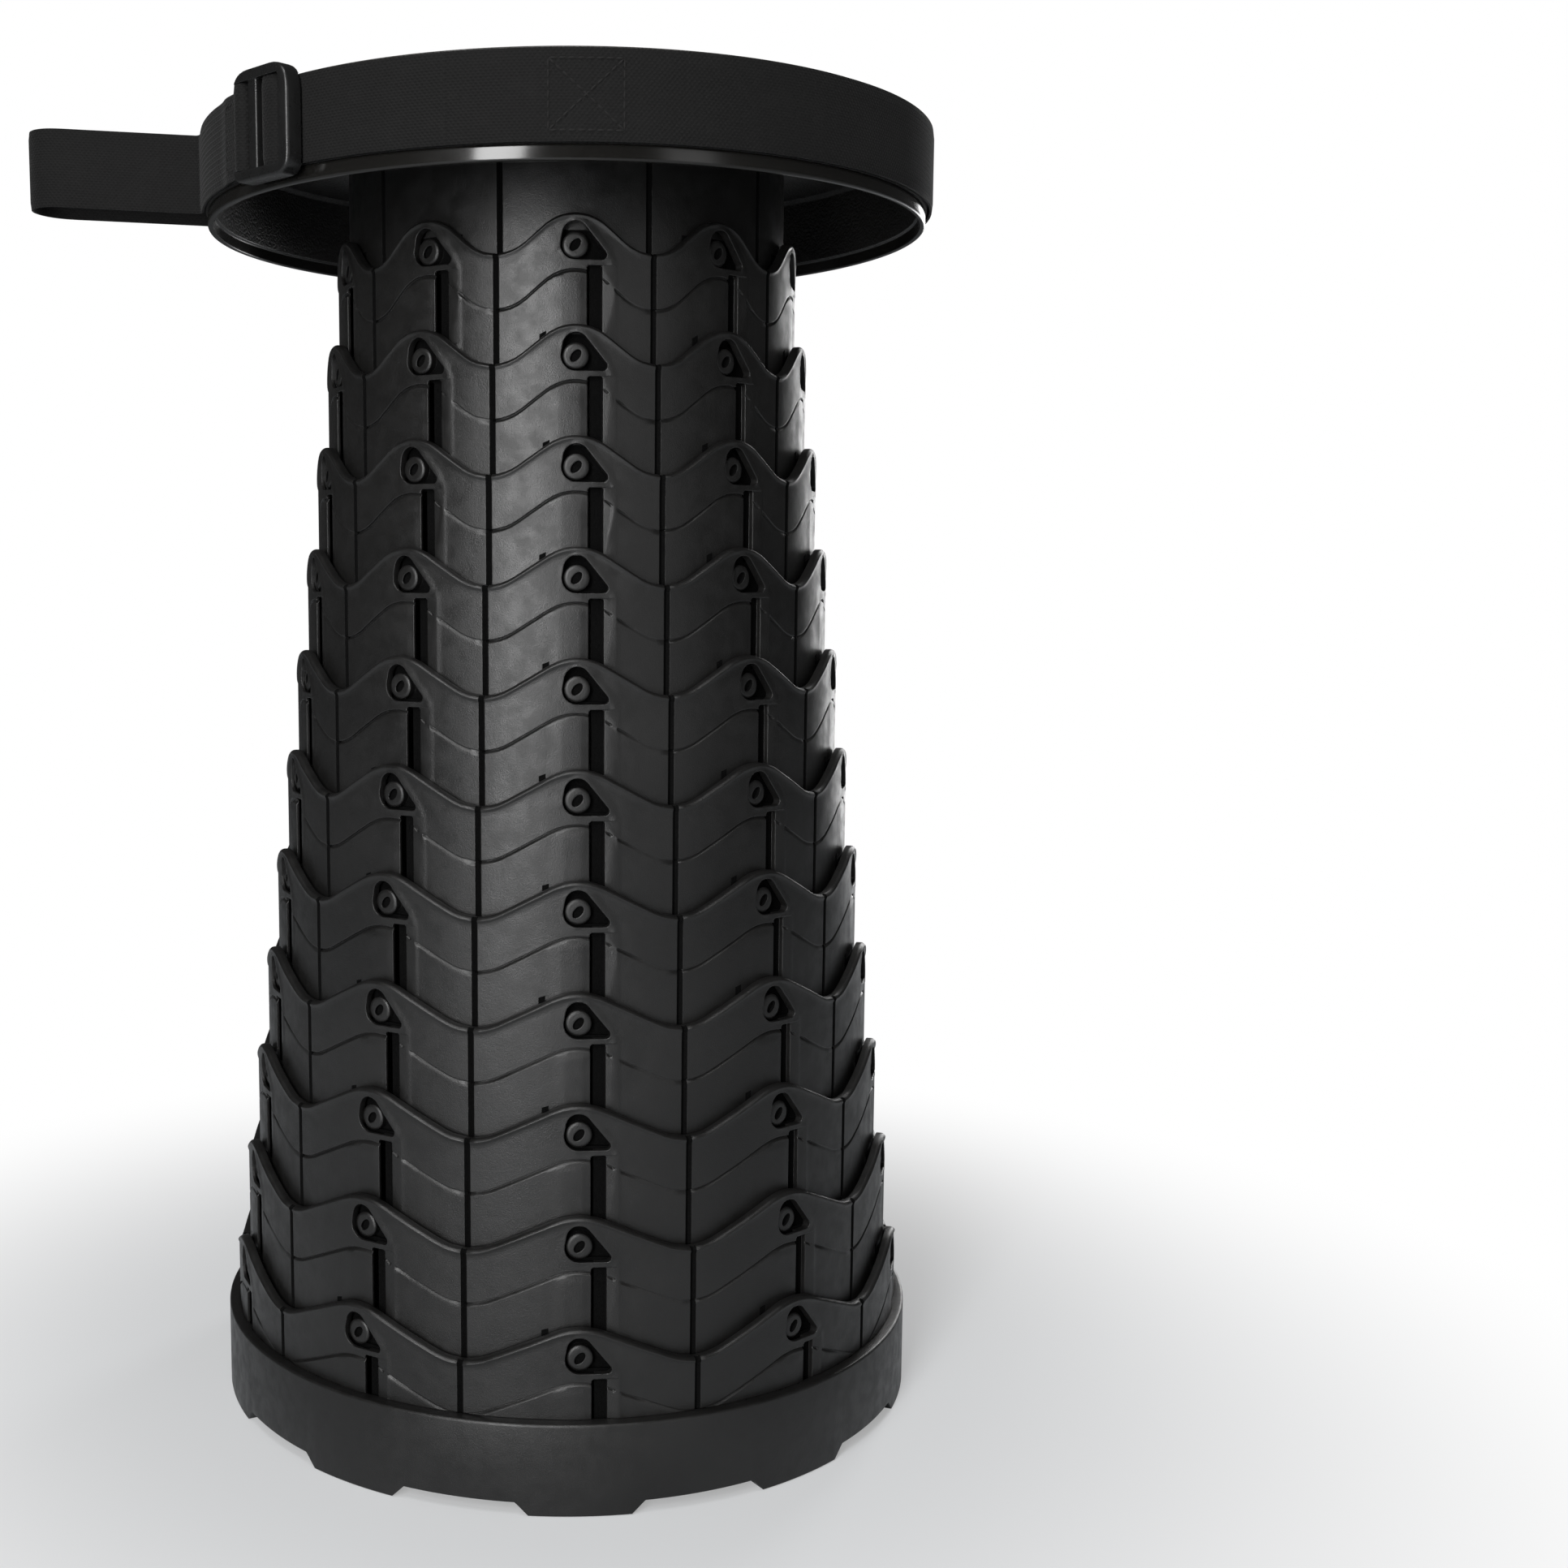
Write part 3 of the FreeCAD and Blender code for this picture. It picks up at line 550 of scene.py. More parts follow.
def rib_stand(outline, x, above):
    """Height of the raised border right of the window and of the slot below it."""
    edge = SLOT_RIGHT + SLOT_FLANK
    if above < SLOT_TOP + 2:
        away = x - edge if x > SLOT_LEFT else 99.0
    else:
        away = outline_distance(outline, x, above)
        if x < -1 or above < SLOT_TOP + 2:
            away += 1.5
    if away < -0.2 or away > RIB_WIDTH:
        return -9.0
    return RIB_STAND * smooth_step((RIB_WIDTH - away) / 0.7)


def panel_cutter(height):
    """Window and slot of one column."""
    level = height - STUD_FROM_PEAK
    bm = bmesh.new()
    prism(bm, [(x, z + level) for x, z in pocket_outline()], -WALL - 2, 2)
    slot = [(SLOT_LEFT, SLOT_FOOT), (SLOT_RIGHT, SLOT_FOOT), (SLOT_RIGHT, level + SLOT_TOP - 0.6),
            (SLOT_RIGHT - 0.6, level + SLOT_TOP), (SLOT_LEFT + 0.6, level + SLOT_TOP),
            (SLOT_LEFT, level + SLOT_TOP - 0.6)]
    prism(bm, slot, -WALL + SLOT_SKIN, 2.5)
    return bm


def track_cutter(height):
    """Blind track behind the window that the inner ring's stud runs in."""
    level = height - STUD_FROM_PEAK
    bm = bmesh.new()
    track = [(-TRACK_HALF, -3.0), (TRACK_HALF, -3.0)] + arc_points(0, level, TRACK_HALF, 0, 180, 10)
    prism(bm, track, -WALL - 2, -TRACK_SKIN)
    return bm


def flank_cutter(height):
    """Bevel along the right side of the slot."""
    top = height - STUD_FROM_PEAK + SLOT_TOP
    bm = bmesh.new()
    outside = 2.0
    reach = SLOT_FLANK * (outside + FLANK_DEPTH) / FLANK_DEPTH
    corners = [(SLOT_RIGHT, -FLANK_DEPTH), (SLOT_RIGHT + reach, outside), (SLOT_LEFT + 1, outside),
               (SLOT_LEFT + 1, -FLANK_DEPTH)]
    face = bm.faces.new([bm.verts.new((x, y, SLOT_FOOT)) for x, y in corners])
    grown = bmesh.ops.extrude_face_region(bm, geom=[face])["geom"]
    moved = [item for item in grown if isinstance(item, bmesh.types.BMVert)]
    bmesh.ops.translate(bm, verts=moved, vec=(0, 0, top - SLOT_FOOT))
    bmesh.ops.recalc_face_normals(bm, faces=bm.faces)
    return bm


def bent_column(half, height, radius, plain=False):
    """One column of a ring, bent to its radius, without its two side faces."""
    bm = flat_panel(half, height, plain)
    shape_panel(bm, half, height, plain)
    bmesh.ops.recalc_face_normals(bm, faces=bm.faces)
    add_back(bm)
    if not plain:
        for cutter in (panel_cutter(height), track_cutter(height), flank_cutter(height)):
            bm = cut_away(bm, cutter)
    # Slot floors, seams and the wall behind the next ring's window take material 1, a near-black painted
    # shade.
    for face in bm.faces:
        face.material_index = int(in_painted_shade(face, half))
    sides = [f for f in bm.faces if all(abs(abs(v.co.x) - half) < 1e-3 for v in f.verts)]
    bmesh.ops.delete(bm, geom=sides, context="FACES")
    for vert in bm.verts:
        turn = vert.co.x / radius
        reach = radius + vert.co.y
        vert.co = Vector((reach * math.sin(turn), -reach * math.cos(turn), vert.co.z))
    return bm


def in_painted_shade(face, half):
    """True for faces that get painted shade: slot floors, seams and the low middle part that only the next
    ring's window shows.
    """
    spot = face.calc_center_median()
    if all(abs(v.co.y + WALL - SLOT_SKIN) < 1e-3 for v in face.verts):
        return True
    if spot.y < -WALL / 2:
        return False
    behind_window = abs(spot.x) < SHADE_HALF and spot.z < SHADE_TOP
    in_seam = abs(spot.x) > half - 2 * SEAM_HALF and spot.z > COLLAR_HEIGHT
    return behind_window or in_seam


def add_back(bm):
    """Extrude the shaped sheet inwards to the ring's inner face."""
    grown = bmesh.ops.extrude_face_region(bm, geom=bm.faces[:])["geom"]
    for item in grown:
        if isinstance(item, bmesh.types.BMVert):
            item.co.y = -WALL
    bmesh.ops.recalc_face_normals(bm, faces=bm.faces)


def add_studs(bm, radius, bottom):
    """Domed studs with a slanting oval dimple, standing out near the ring's bottom."""
    stud = bmesh.new()
    bmesh.ops.create_circle(stud, segments=28, radius=STUD_RADIUS, cap_ends=True)
    cap = stud.faces[:]
    grown = bmesh.ops.extrude_face_region(stud, geom=cap)["geom"]
    top = [item for item in grown if isinstance(item, bmesh.types.BMFace)]
    bmesh.ops.translate(stud, vec=(0, 0, STUD_STAND + 0.2),
                        verts=[item for item in grown if isinstance(item, bmesh.types.BMVert)])
    for thickness, depth in ((0.3, 0.3), (0.4, 0.16), (0.5, 0.04)):
        bmesh.ops.inset_region(stud, faces=top, thickness=thickness, depth=depth, use_even_offset=True)
    bmesh.ops.recalc_face_normals(stud, faces=stud.faces)
    dimple = bmesh.new()
    bmesh.ops.create_cone(dimple, segments=20, radius1=1.0, radius2=1.15, depth=2.0, cap_ends=True)
    bmesh.ops.scale(dimple, vec=(1.25, 2.1, 1), verts=dimple.verts)
    bmesh.ops.rotate(dimple, verts=dimple.verts, matrix=Matrix.Rotation(math.radians(-40), 3, "Z"))
    bmesh.ops.translate(dimple, verts=dimple.verts, vec=(0, 0, STUD_STAND + 0.7))
    stud = cut_away(stud, dimple)
    # Faces deep in the dimple take material 1, a near-black painted shade.
    for face in stud.faces:
        spot = face.calc_center_median()
        face.material_index = int(math.hypot(spot.x, spot.y) < 2.6 and spot.z < STUD_STAND + 0.5)
    place = Matrix.Translation((0, -radius + 0.6, bottom + STUD_FROM_BOTTOM))
    lay_out = place @ Matrix.Rotation(math.pi / 2, 4, "X")
    bmesh.ops.transform(stud, matrix=lay_out, verts=stud.verts)
    for column in range(COLUMNS):
        copy_into(bm, stud, Matrix.Rotation(math.radians(column * COLUMN_PITCH), 4, "Z"))
    stud.free()


def copy_into(bm, source, matrix):
    """Add a transformed copy of one mesh to another."""
    mesh = bpy.data.meshes.new("copy")
    source.to_mesh(mesh)
    mesh.transform(matrix)
    bm.from_mesh(mesh)
    bpy.data.meshes.remove(mesh)


def ring_mesh(radius, bottom, height, plain=False):
    half = math.radians(COLUMN_PITCH / 2) * radius
    column = bent_column(half, height, radius, plain)
    bmesh.ops.translate(column, vec=(0, 0, bottom), verts=column.verts)
    ring = bmesh.new()
    for index in range(COLUMNS):
        copy_into(ring, column, Matrix.Rotation(math.radians(index * COLUMN_PITCH), 4, "Z"))
    column.free()
    bmesh.ops.remove_doubles(ring, verts=ring.verts, dist=0.004)
    return ring


def build_rings(material):
    for number in range(2, RING_COUNT):
        node = f"ring_{number:02d}"
        low, high = mm_box(node)
        radius = wall_radius(node, high.z - WALL_SAMPLE, high.z)
        ring = ring_mesh(radius, low.z, high.z - low.z)
        add_studs(ring, radius, low.z)
        make_piece(ring, f"{node}_moulding", f"stage_{number:02d}", material, [node])


def build_seat_tube(material):
    """Innermost ring, plain at its top, with the flange that the seat's screws go through."""
    low, high = mm_box("seat_tube")
    radius = wall_radius("seat_tube", high.z - 1, high.z)
    ring = ring_mesh(radius, low.z, high.z - low.z, plain=True)
    add_studs(ring, radius, low.z)
    outer, inner = radius - WALL / 2, radius - TUBE_FLANGE_REACH
    flange = [(outer, TUBE_FLANGE[0], 0), (outer, TUBE_FLANGE[1], 0),
              (inner, TUBE_FLANGE[1], 0.4), (inner, TUBE_FLANGE[0], 0.4)]
    copy_into(ring, spin_profile(rounded(flange, 0.2)), Matrix())
    make_piece(ring, "seat_tube_moulding", "seat", material, ["seat_tube"])


def spin_profile(points, steps=180):
    """Turn a closed (radius, z) outline round the axis."""
    bm = bmesh.new()
    verts = [bm.verts.new((x, 0, z)) for x, z in points]
    edges = [bm.edges.new((a, b)) for a, b in zip(verts, verts[1:] + verts[:1])]
    bmesh.ops.spin(bm, geom=verts + edges, cent=(0, 0, 0), axis=(0, 0, 1), steps=steps,
                   angle=2 * math.pi, use_merge=True)
    bmesh.ops.remove_doubles(bm, verts=bm.verts, dist=0.0005)
    bmesh.ops.recalc_face_normals(bm, faces=bm.faces)
    return bm


def rounded(points, radius, steps=3):
    """Round every corner of a closed (x, z) outline; a corner is given its own radius as a third value."""
    result = []
    count = len(points)
    for index, point in enumerate(points):
        here = Vector(point[:2])
        size = point[2] if len(point) > 2 else radius
        before = Vector(points[index - 1][:2]) - here
        after = Vector(points[(index + 1) % count][:2]) - here
        size = min(size, before.length / 2.05, after.length / 2.05)
        if size < 0.02:
            result.append(tuple(here))
            continue
        start, stop = here + before.normalized() * size, here + after.normalized() * size
        for step in range(steps + 1):
            t = step / steps
            spot = start * (1 - t) ** 2 + here * 2 * t * (1 - t) + stop * t * t
            result.append(tuple(spot))
    return result


# ---- Foot ---------------------------------------------------------------------------------------

FOOT_COUNT = 10
FOOT_WIDTH = 33.0
FOOT_HEIGHT = 4.2
BAND_DEPTH = 2.4
FOOT_DEPTH = 13.6
SHELF_WIDTH = 23.8
SHELF_LOW = 5.0
SHELF_HIGH = 7.4
RING_FLOOR = 8.0


def foot_drop(angle, radius):
    """How far a point under the band lies below the band's edge: 1 on a foot, 0 between two feet."""
    pitch = 360.0 / FOOT_COUNT
    off = abs((angle + pitch / 2) % pitch - pitch / 2)
    from_end = math.radians(off) * radius - FOOT_WIDTH / 2
    return min(max(1 - from_end / FOOT_HEIGHT, 0.0), 1.0)


def foot_band(radius, band_top):
    """Band round the foot with ten feet under it, whose ends are bevelled."""
    outer = radius
    inner = outer - FOOT_DEPTH
    wall = outer - BAND_DEPTH
    ring = wall - 1.4
    profile = rounded([(outer, 0, 0.5), (outer, band_top, 0.9), (ring - 0.6, band_top, 0.1),
                       (ring - 0.6, band_top - BAND_DEPTH, 0.1), (wall, band_top - BAND_DEPTH, 0.1),
                       (wall, SHELF_HIGH + 1, 0.3), (inner, SHELF_HIGH, 0.1), (inner, 0, 0.5)], 0.3)
    bm = spin_profile(profile, 720)
    for vert in bm.verts:
        if vert.co.z < 0.6:
            spread = math.hypot(vert.co.x, vert.co.y)
            angle = math.degrees(math.atan2(vert.co.x, -vert.co.y))
            rise = FOOT_HEIGHT * (1 - foot_drop(angle, outer))
            vert.co.z += rise
            if spread < wall:
                vert.co.z = min(vert.co.z, SHELF_HIGH - 0.5)
    return bm


def build_foot(material):
    top = mm_box("base_ring")[1].z
    band = max(math.hypot(p.x, p.y) for p in node_points("base_ring"))
    radius = wall_radius("base_ring", top - WALL_SAMPLE, top)
    bm = ring_mesh(radius, RING_FLOOR, top - RING_FLOOR)
    shelf = spin_profile(rounded([(radius - 0.4, SHELF_LOW), (radius - 0.4, RING_FLOOR + 0.3),
                                  (radius - 2.2, RING_FLOOR + 0.3), (radius - 2.2, SHELF_HIGH),
                                  (radius - SHELF_WIDTH, SHELF_HIGH),
                                  (radius - SHELF_WIDTH, SHELF_LOW)], 0.3))
    copy_into(bm, shelf, Matrix.Identity(4))
    shelf.free()
    band_top = max(p.z for p in node_points("base_ring") if math.hypot(p.x, p.y) > band - 0.5)
    band_bm = foot_band(band, band_top)
    copy_into(bm, band_bm, Matrix.Identity(4))
    band_bm.free()
    make_piece(bm, "foot_moulding", "base", material, ["base_ring"], recalc=False)


def node_points(node):
    return [vertex.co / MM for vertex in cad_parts[node].data.vertices]


# ---- Seat ---------------------------------------------------------------------------------------

seat_low, seat_high = mm_box("seat_shell")
SEAT_TOP = round(seat_high.z, 2)
SEAT_PLATE = 2.6
RIM_INNER = 122.3
RIM_OUTER = 124.4
RIM_LOW = round(seat_low.z, 2)
LIP_TOP = round(RIM_LOW + 4.7, 2)
FLANGE_HEIGHT = 1.1
CAP_RADIUS = 46.3
CAP_GAP = 0.3
CAP_THICK = 1.5
CAP_LEDGE = 4.5
HUB_HEIGHT = 9.0
HUB_RIB = 1.8
WELL_X = 27.35
WELL_RADIUS = 11.3
WELL_SQUARE = 15.0
WELL_DEPTH = 13.0
WELL_ROUND_DEPTH = 4.0
WELL_WALL = 2.0
TUBE_RADIUS = 76.7
SCREW_CIRCLE = 67.1
SCREW_TURNS = 5


def seat_outline():
    """Section of the seat's plate, flange, rim and glossy lip."""
    under = SEAT_TOP - SEAT_PLATE
    opening = CAP_RADIUS - CAP_LEDGE + CAP_GAP
    recess = CAP_RADIUS + CAP_GAP
    corners = [(opening, under, 0.2), (opening, SEAT_TOP - CAP_THICK, 0.2),
               (recess, SEAT_TOP - CAP_THICK, 0.1),
               (recess, SEAT_TOP, 0.45), (RIM_OUTER + 0.8, SEAT_TOP, 0.75),
               (RIM_OUTER + 0.8, SEAT_TOP - FLANGE_HEIGHT, 0.3), (RIM_OUTER, SEAT_TOP - FLANGE_HEIGHT, 0.15),
               (RIM_OUTER, LIP_TOP, 0.2), (RIM_OUTER + 1.0, LIP_TOP, 0.35), (RIM_OUTER + 1.0, RIM_LOW, 1.0),
               (RIM_INNER + 1.1, RIM_LOW, 0.5), (RIM_INNER + 1.1, LIP_TOP - 0.4, 0.2),
               (RIM_INNER, LIP_TOP, 0.2),
               (RIM_INNER, under - 1.5, 0.2), (RIM_INNER - 1.5, under, 0.2)]
    return rounded(corners, 0.2, 4)


def seat_underside():
    """Hub ring, ten ribs and five screw bosses under the plate."""
    low, high = SEAT_TOP - SEAT_PLATE - HUB_HEIGHT, SEAT_TOP - SEAT_PLATE + 0.1
    bm = spin_profile(rounded([(CAP_RADIUS, low), (CAP_RADIUS + HUB_RIB, low), (CAP_RADIUS + HUB_RIB, high),
                               (CAP_RADIUS, high)], 0.25), 120)
    rib_end = TUBE_RADIUS - WALL - 0.3
    for index in range(COLUMNS):
        rib = bmesh.new()
        bmesh.ops.create_cube(rib, size=1)
        bmesh.ops.scale(rib, vec=(HUB_RIB, rib_end - CAP_RADIUS - 0.9, high - low), verts=rib.verts)
        lower = [e for e in rib.edges if all(v.co.z < 0 for v in e.verts)]
        bmesh.ops.bevel(rib, geom=lower, offset=0.3, segments=2, profile=0.5, affect="EDGES", material=-1)
        middle = (0, -(rib_end + CAP_RADIUS + 0.9) / 2, (high + low) / 2)
        bmesh.ops.translate(rib, verts=rib.verts, vec=middle)
        copy_into(bm, rib, Matrix.Rotation(math.radians(index * COLUMN_PITCH), 4, "Z"))
        rib.free()
    for index in range(SCREW_TURNS):
        spot = around((index + 0.25) * 360.0 / SCREW_TURNS, SCREW_CIRCLE)
        boss = spin_profile(rounded([(1.55, low), (4.0, low), (4.0, high), (1.55, high)], 0.25), 28)
        copy_into(bm, boss, Matrix.Translation(spot))
        boss.free()
    return bm


def build_seat(material):
    plate = spin_profile(seat_outline(), 240)
    make_piece(plate, "seat_moulding", "seat", material, ["seat_shell"])
    make_piece(seat_underside(), "seat_ribs", "seat", material, ["seat_shell"])


def well_cutter(x):
    """Finger well: a round mouth with a soft edge over a square pit with round corners."""
    bm = spin_profile(rounded([(0, SEAT_TOP - WELL_ROUND_DEPTH, 0),
                               (WELL_RADIUS, SEAT_TOP - WELL_ROUND_DEPTH, 0.8),
                               (WELL_RADIUS, SEAT_TOP - 0.5, 0.3), (WELL_RADIUS + 0.7, SEAT_TOP + 0.35, 0.3),
                               (WELL_RADIUS + 0.7, SEAT_TOP + 4, 0), (0, SEAT_TOP + 4, 0)], 0.2), 48)
    bmesh.ops.translate(bm, verts=bm.verts, vec=(x, 0, 0))
    return bm


def pit_cutter(x):
    bm = bmesh.new()
    bmesh.ops.create_cube(bm, size=1)
    bmesh.ops.scale(bm, vec=(WELL_SQUARE, WELL_SQUARE, WELL_DEPTH), verts=bm.verts)
    upright = [e for e in bm.edges if abs(e.verts[0].co.z - e.verts[1].co.z) > 1]
    bmesh.ops.bevel(bm, geom=upright, offset=2.2, segments=4, profile=0.5, affect="EDGES", material=-1)
    floor = [e for e in bm.edges if all(v.co.z < 0 for v in e.verts)]
    bmesh.ops.bevel(bm, geom=floor, offset=0.9, segments=3, profile=0.5, affect="EDGES", material=-1)
    bmesh.ops.translate(bm, verts=bm.verts, vec=(x, 0, SEAT_TOP - WELL_DEPTH / 2))
    return bm


def build_cap(material):
    """Centre cap with two finger wells, each with a raised bead round its mouth."""
    under = SEAT_TOP - SEAT_PLATE
    step = CAP_RADIUS - CAP_LEDGE
    outline = rounded([(0, under, 0), (step, under, 0.2), (step, SEAT_TOP - CAP_THICK, 0.1),
                       (CAP_RADIUS, SEAT_TOP - CAP_THICK, 0.2), (CAP_RADIUS, SEAT_TOP, 0.5),
                       (0, SEAT_TOP, 0)], 0.2)
    cap = spin_profile(outline, 180)
    for x in (-WELL_X, WELL_X):
        low = SEAT_TOP - WELL_DEPTH - WELL_WALL
        outer = WELL_RADIUS + WELL_WALL
        cup = spin_profile(rounded([(0, low, 0), (outer, low, 0.8), (outer, under + 0.6, 0),
                                    (0, under + 0.6, 0)], 0), 48)
        bmesh.ops.translate(cup, verts=cup.verts, vec=(x, 0, 0))
        cap = join_solids(cap, cup)
        bead = spin_profile(rounded([(WELL_RADIUS - 0.4, SEAT_TOP - 0.6, 0),
                                     (WELL_RADIUS + 1.3, SEAT_TOP - 0.6, 0),
                                     (WELL_RADIUS + 1.3, SEAT_TOP + 0.15, 0.3),
                                     (WELL_RADIUS + 0.9, SEAT_TOP + 0.5, 0.35),
                                     (WELL_RADIUS - 0.4, SEAT_TOP + 0.5, 0.2)], 0.2), 48)
        bmesh.ops.translate(bead, verts=bead.verts, vec=(x, 0, 0))
        cap = join_solids(cap, bead)
    for x in (-WELL_X, WELL_X):
        cap = cut_away(cap, well_cutter(x))
        cap = cut_away(cap, pit_cutter(x))
    make_piece(cap, "cap_moulding", "seat", material, ["centre_cap"])


# ---- Webbing ------------------------------------------------------------------------------------

STRAP_WIDTH = 26.0
STRAP_THICK = 1.4
STRAP_GAP = 0.3
RIB_PITCH = 1.5
RIB_HEIGHT = 0.11
BUCKLE_ANGLE = -46.5
LOOP_ANGLE = -88.0
LOOP_HALF = 11.3
LOOP_REACH = 186.4
LOOP_LIFT = 2.0
STRAP_IN = RIM_OUTER + STRAP_GAP
STRAP_OUT = STRAP_IN + STRAP_THICK
STRAP_MID_Z = SEAT_TOP - FLANGE_HEIGHT - STRAP_WIDTH / 2
TAIL_MID = STRAP_OUT + STRAP_GAP + STRAP_THICK / 2
LEAD_ANGLE = -18.0
LEAD_RUN = math.radians(LEAD_ANGLE - BUCKLE_ANGLE) * STRAP_OUT
STITCH_LENGTH = 2.3
STITCH_PITCH = 2.7


def smooth_path(points, pitch):
    """Evenly spaced points of a smooth curve through waypoints in plan."""
    curve = bpy.data.curves.new("path", "CURVE")
    curve.dimensions = "3D"
    spline = curve.splines.new("NURBS")
    spline.points.add(len(points) - 1)
    for place, point in zip(spline.points, points):
        place.co = (point[0], point[1], 0, 1)
    spline.order_u = 3
    spline.use_endpoint_u = True
    spline.resolution_u = 16
    made = bpy.data.objects.new("path", curve)
    mesh = bpy.data.meshes.new_from_object(made)
    line = [v.co.copy() for v in mesh.vertices]
    bpy.data.objects.remove(made)
    bpy.data.curves.remove(curve)
    bpy.data.meshes.remove(mesh)
    return respaced(line, pitch)


def respaced(line, pitch):
    """Resample a polyline at equal steps; gives each step's point and its direction."""
    lengths = [0.0]
    for a, b in zip(line, line[1:]):
        lengths.append(lengths[-1] + (b - a).length)
    count = max(int(lengths[-1] / pitch), 2)
    result, at = [], 0
    for index in range(count + 1):
        target = lengths[-1] * index / count
        while at < len(line) - 2 and lengths[at + 1] < target:
            at += 1
        share = (target - lengths[at]) / (lengths[at + 1] - lengths[at])
        result.append(line[at].lerp(line[at + 1], share))
    return result


def webbing_strip(path, thick=STRAP_THICK, width=STRAP_WIDTH, rise=lambda point: 0.0):
    """Ribbed webbing that stands on edge along a plan path, with rounded selvedges and its own UV map."""
    steps = len(path) - 1
    bm = bmesh.new()
    bmesh.ops.create_grid(bm, x_segments=steps, y_segments=10, size=0.5)
    layer = bm.loops.layers.uv.new("UVMap")
    grown = bmesh.ops.extrude_face_region(bm, geom=bm.faces[:])["geom"]
    outer = {item for item in grown if isinstance(item, bmesh.types.BMVert)}
    length = sum((b - a).length for a, b in zip(path, path[1:]))
    for face in bm.faces:
        for loop in face.loops:
            along, up = loop.vert.co.x + 0.5, loop.vert.co.y + 0.5
            side = 0.02 if loop.vert in outer else 0.0
            loop[layer].uv = (along * length * 0.01, up * width * 0.01 + side)
    for vert in bm.verts:
        index = round((vert.co.x + 0.5) * steps)
        run = (path[min(index + 1, steps)] - path[max(index - 1, 0)]).normalized()
        outwards = Vector((run.y, -run.x, 0))
        edge = 1 - abs(vert.co.y) * 2
        half = thick / 2 * (0.55 + 0.45 * smooth_step(edge / 0.09))
        half -= RIB_HEIGHT * (index % 2) * smooth_step(edge / 0.12)
        if index in (0, steps):
            half *= 0.6
        side = 1 if vert in outer else -1
        level = STRAP_MID_Z + rise(path[index]) + vert.co.y * width
        vert.co = path[index] + outwards * half * side + Vector((0, 0, level))
    bmesh.ops.recalc_face_normals(bm, faces=bm.faces)
    return bm


def arc_path(radius, start, stop, pitch=RIB_PITCH / 2):
    steps = 2 * round(math.radians(stop - start) * radius / pitch / 2)
    return [around(start + (stop - start) * i / steps, radius) for i in range(steps + 1)]


def strap_point(run, stand):
    """Plan point a distance along the belt from the buckle's middle, standing off its outer face."""
    return around(BUCKLE_ANGLE + math.degrees(run / STRAP_OUT), STRAP_OUT + stand)


def buckle_point(along, out):
    """Plan point in the buckle's own square axes: along it, towards the front, and outwards."""
    return around(BUCKLE_ANGLE, out) + around(BUCKLE_ANGLE + 90, along)


def loop_point(out, aside):
    return around(LOOP_ANGLE, out) + around(LOOP_ANGLE + 90, aside)


def loop_rise(point):
    """The loop climbs a little from the belt to its tip."""
    reach = point.dot(around(LOOP_ANGLE, 1)) - STRAP_OUT - 1.5
    return max(reach, 0.0) * math.tan(math.radians(LOOP_LIFT))


def loop_path():
    """Carry loop: a sewn tab, the U, then a second tab that wraps round the buckle's pivot bar."""
    bend = LOOP_REACH - LOOP_HALF
    points = [around(angle, STRAP_OUT + 0.8) for angle in (-105.3, -102, -98.5, -95.5)]
    points += [loop_point(out, -LOOP_HALF) for out in (126.6, 131, 142, 156, 168)]
    for step in range(9):
        turn = math.radians(-90 + 180 * step / 8)
        points.append(loop_point(bend + 1.01 * LOOP_HALF * math.cos(turn), 1.01 * LOOP_HALF * math.sin(turn)))
    points += [loop_point(out, LOOP_HALF) for out in (168, 156, 142, 131, 126.6)]
    points += [strap_point(run, stand) for run, stand in
               ((-74, 0.85), (-62, 0.85), (-50, 0.85), (-41, 0.85), (-34, 0.85), (-30, 1.6), (-27, 2.25),
                (-22, 2.3))]
    points += [buckle_point(along, out) for along, out in
               ((-17, 127.5), (-14.8, 129.2), (-13.6, 132.0), (-11.6, 133.2), (-9.2, 133.0), (-8.0, 130.6),
                (-8.6, 127.9), (-11.5, 127.0))]
    points += [strap_point(run, 0.8) for run in (-16, -21, -27)]
    return smooth_path(points, RIB_PITCH / 2)


def lead_path():
    """The tail's start: under the buckle's end bar, up and over the next bar, and down again."""
    points = [buckle_point(along, out) for along, out in
              ((-6.2, 127.0), (-3.5, 127.0), (-0.6, 127.3), (0.1, 129.4), (0.6, 132.1), (3.9, 132.7),
               (7.2, 132.1), (7.9, 129.3), (9.0, 127.1), (12.5, 126.6))]
    points += [strap_point(run, 1.0) for run in (19, 28, 38, 48, 58, LEAD_RUN)]
    return smooth_path(points, RIB_PITCH / 2)


def add_stitch(bm, place, outwards, run):
    """One raised thread; outwards and run are unit directions."""
    thread = bmesh.new()
    bmesh.ops.create_uvsphere(thread, u_segments=8, v_segments=6, radius=1.0)
    bmesh.ops.scale(thread, vec=(STITCH_LENGTH / 2, 0.3, 0.34), verts=thread.verts)
    up = run.cross(outwards)
    turn = Matrix((run, outwards, up)).transposed().to_4x4()
    copy_into(bm, thread, Matrix.Translation(place) @ turn)
    thread.free()


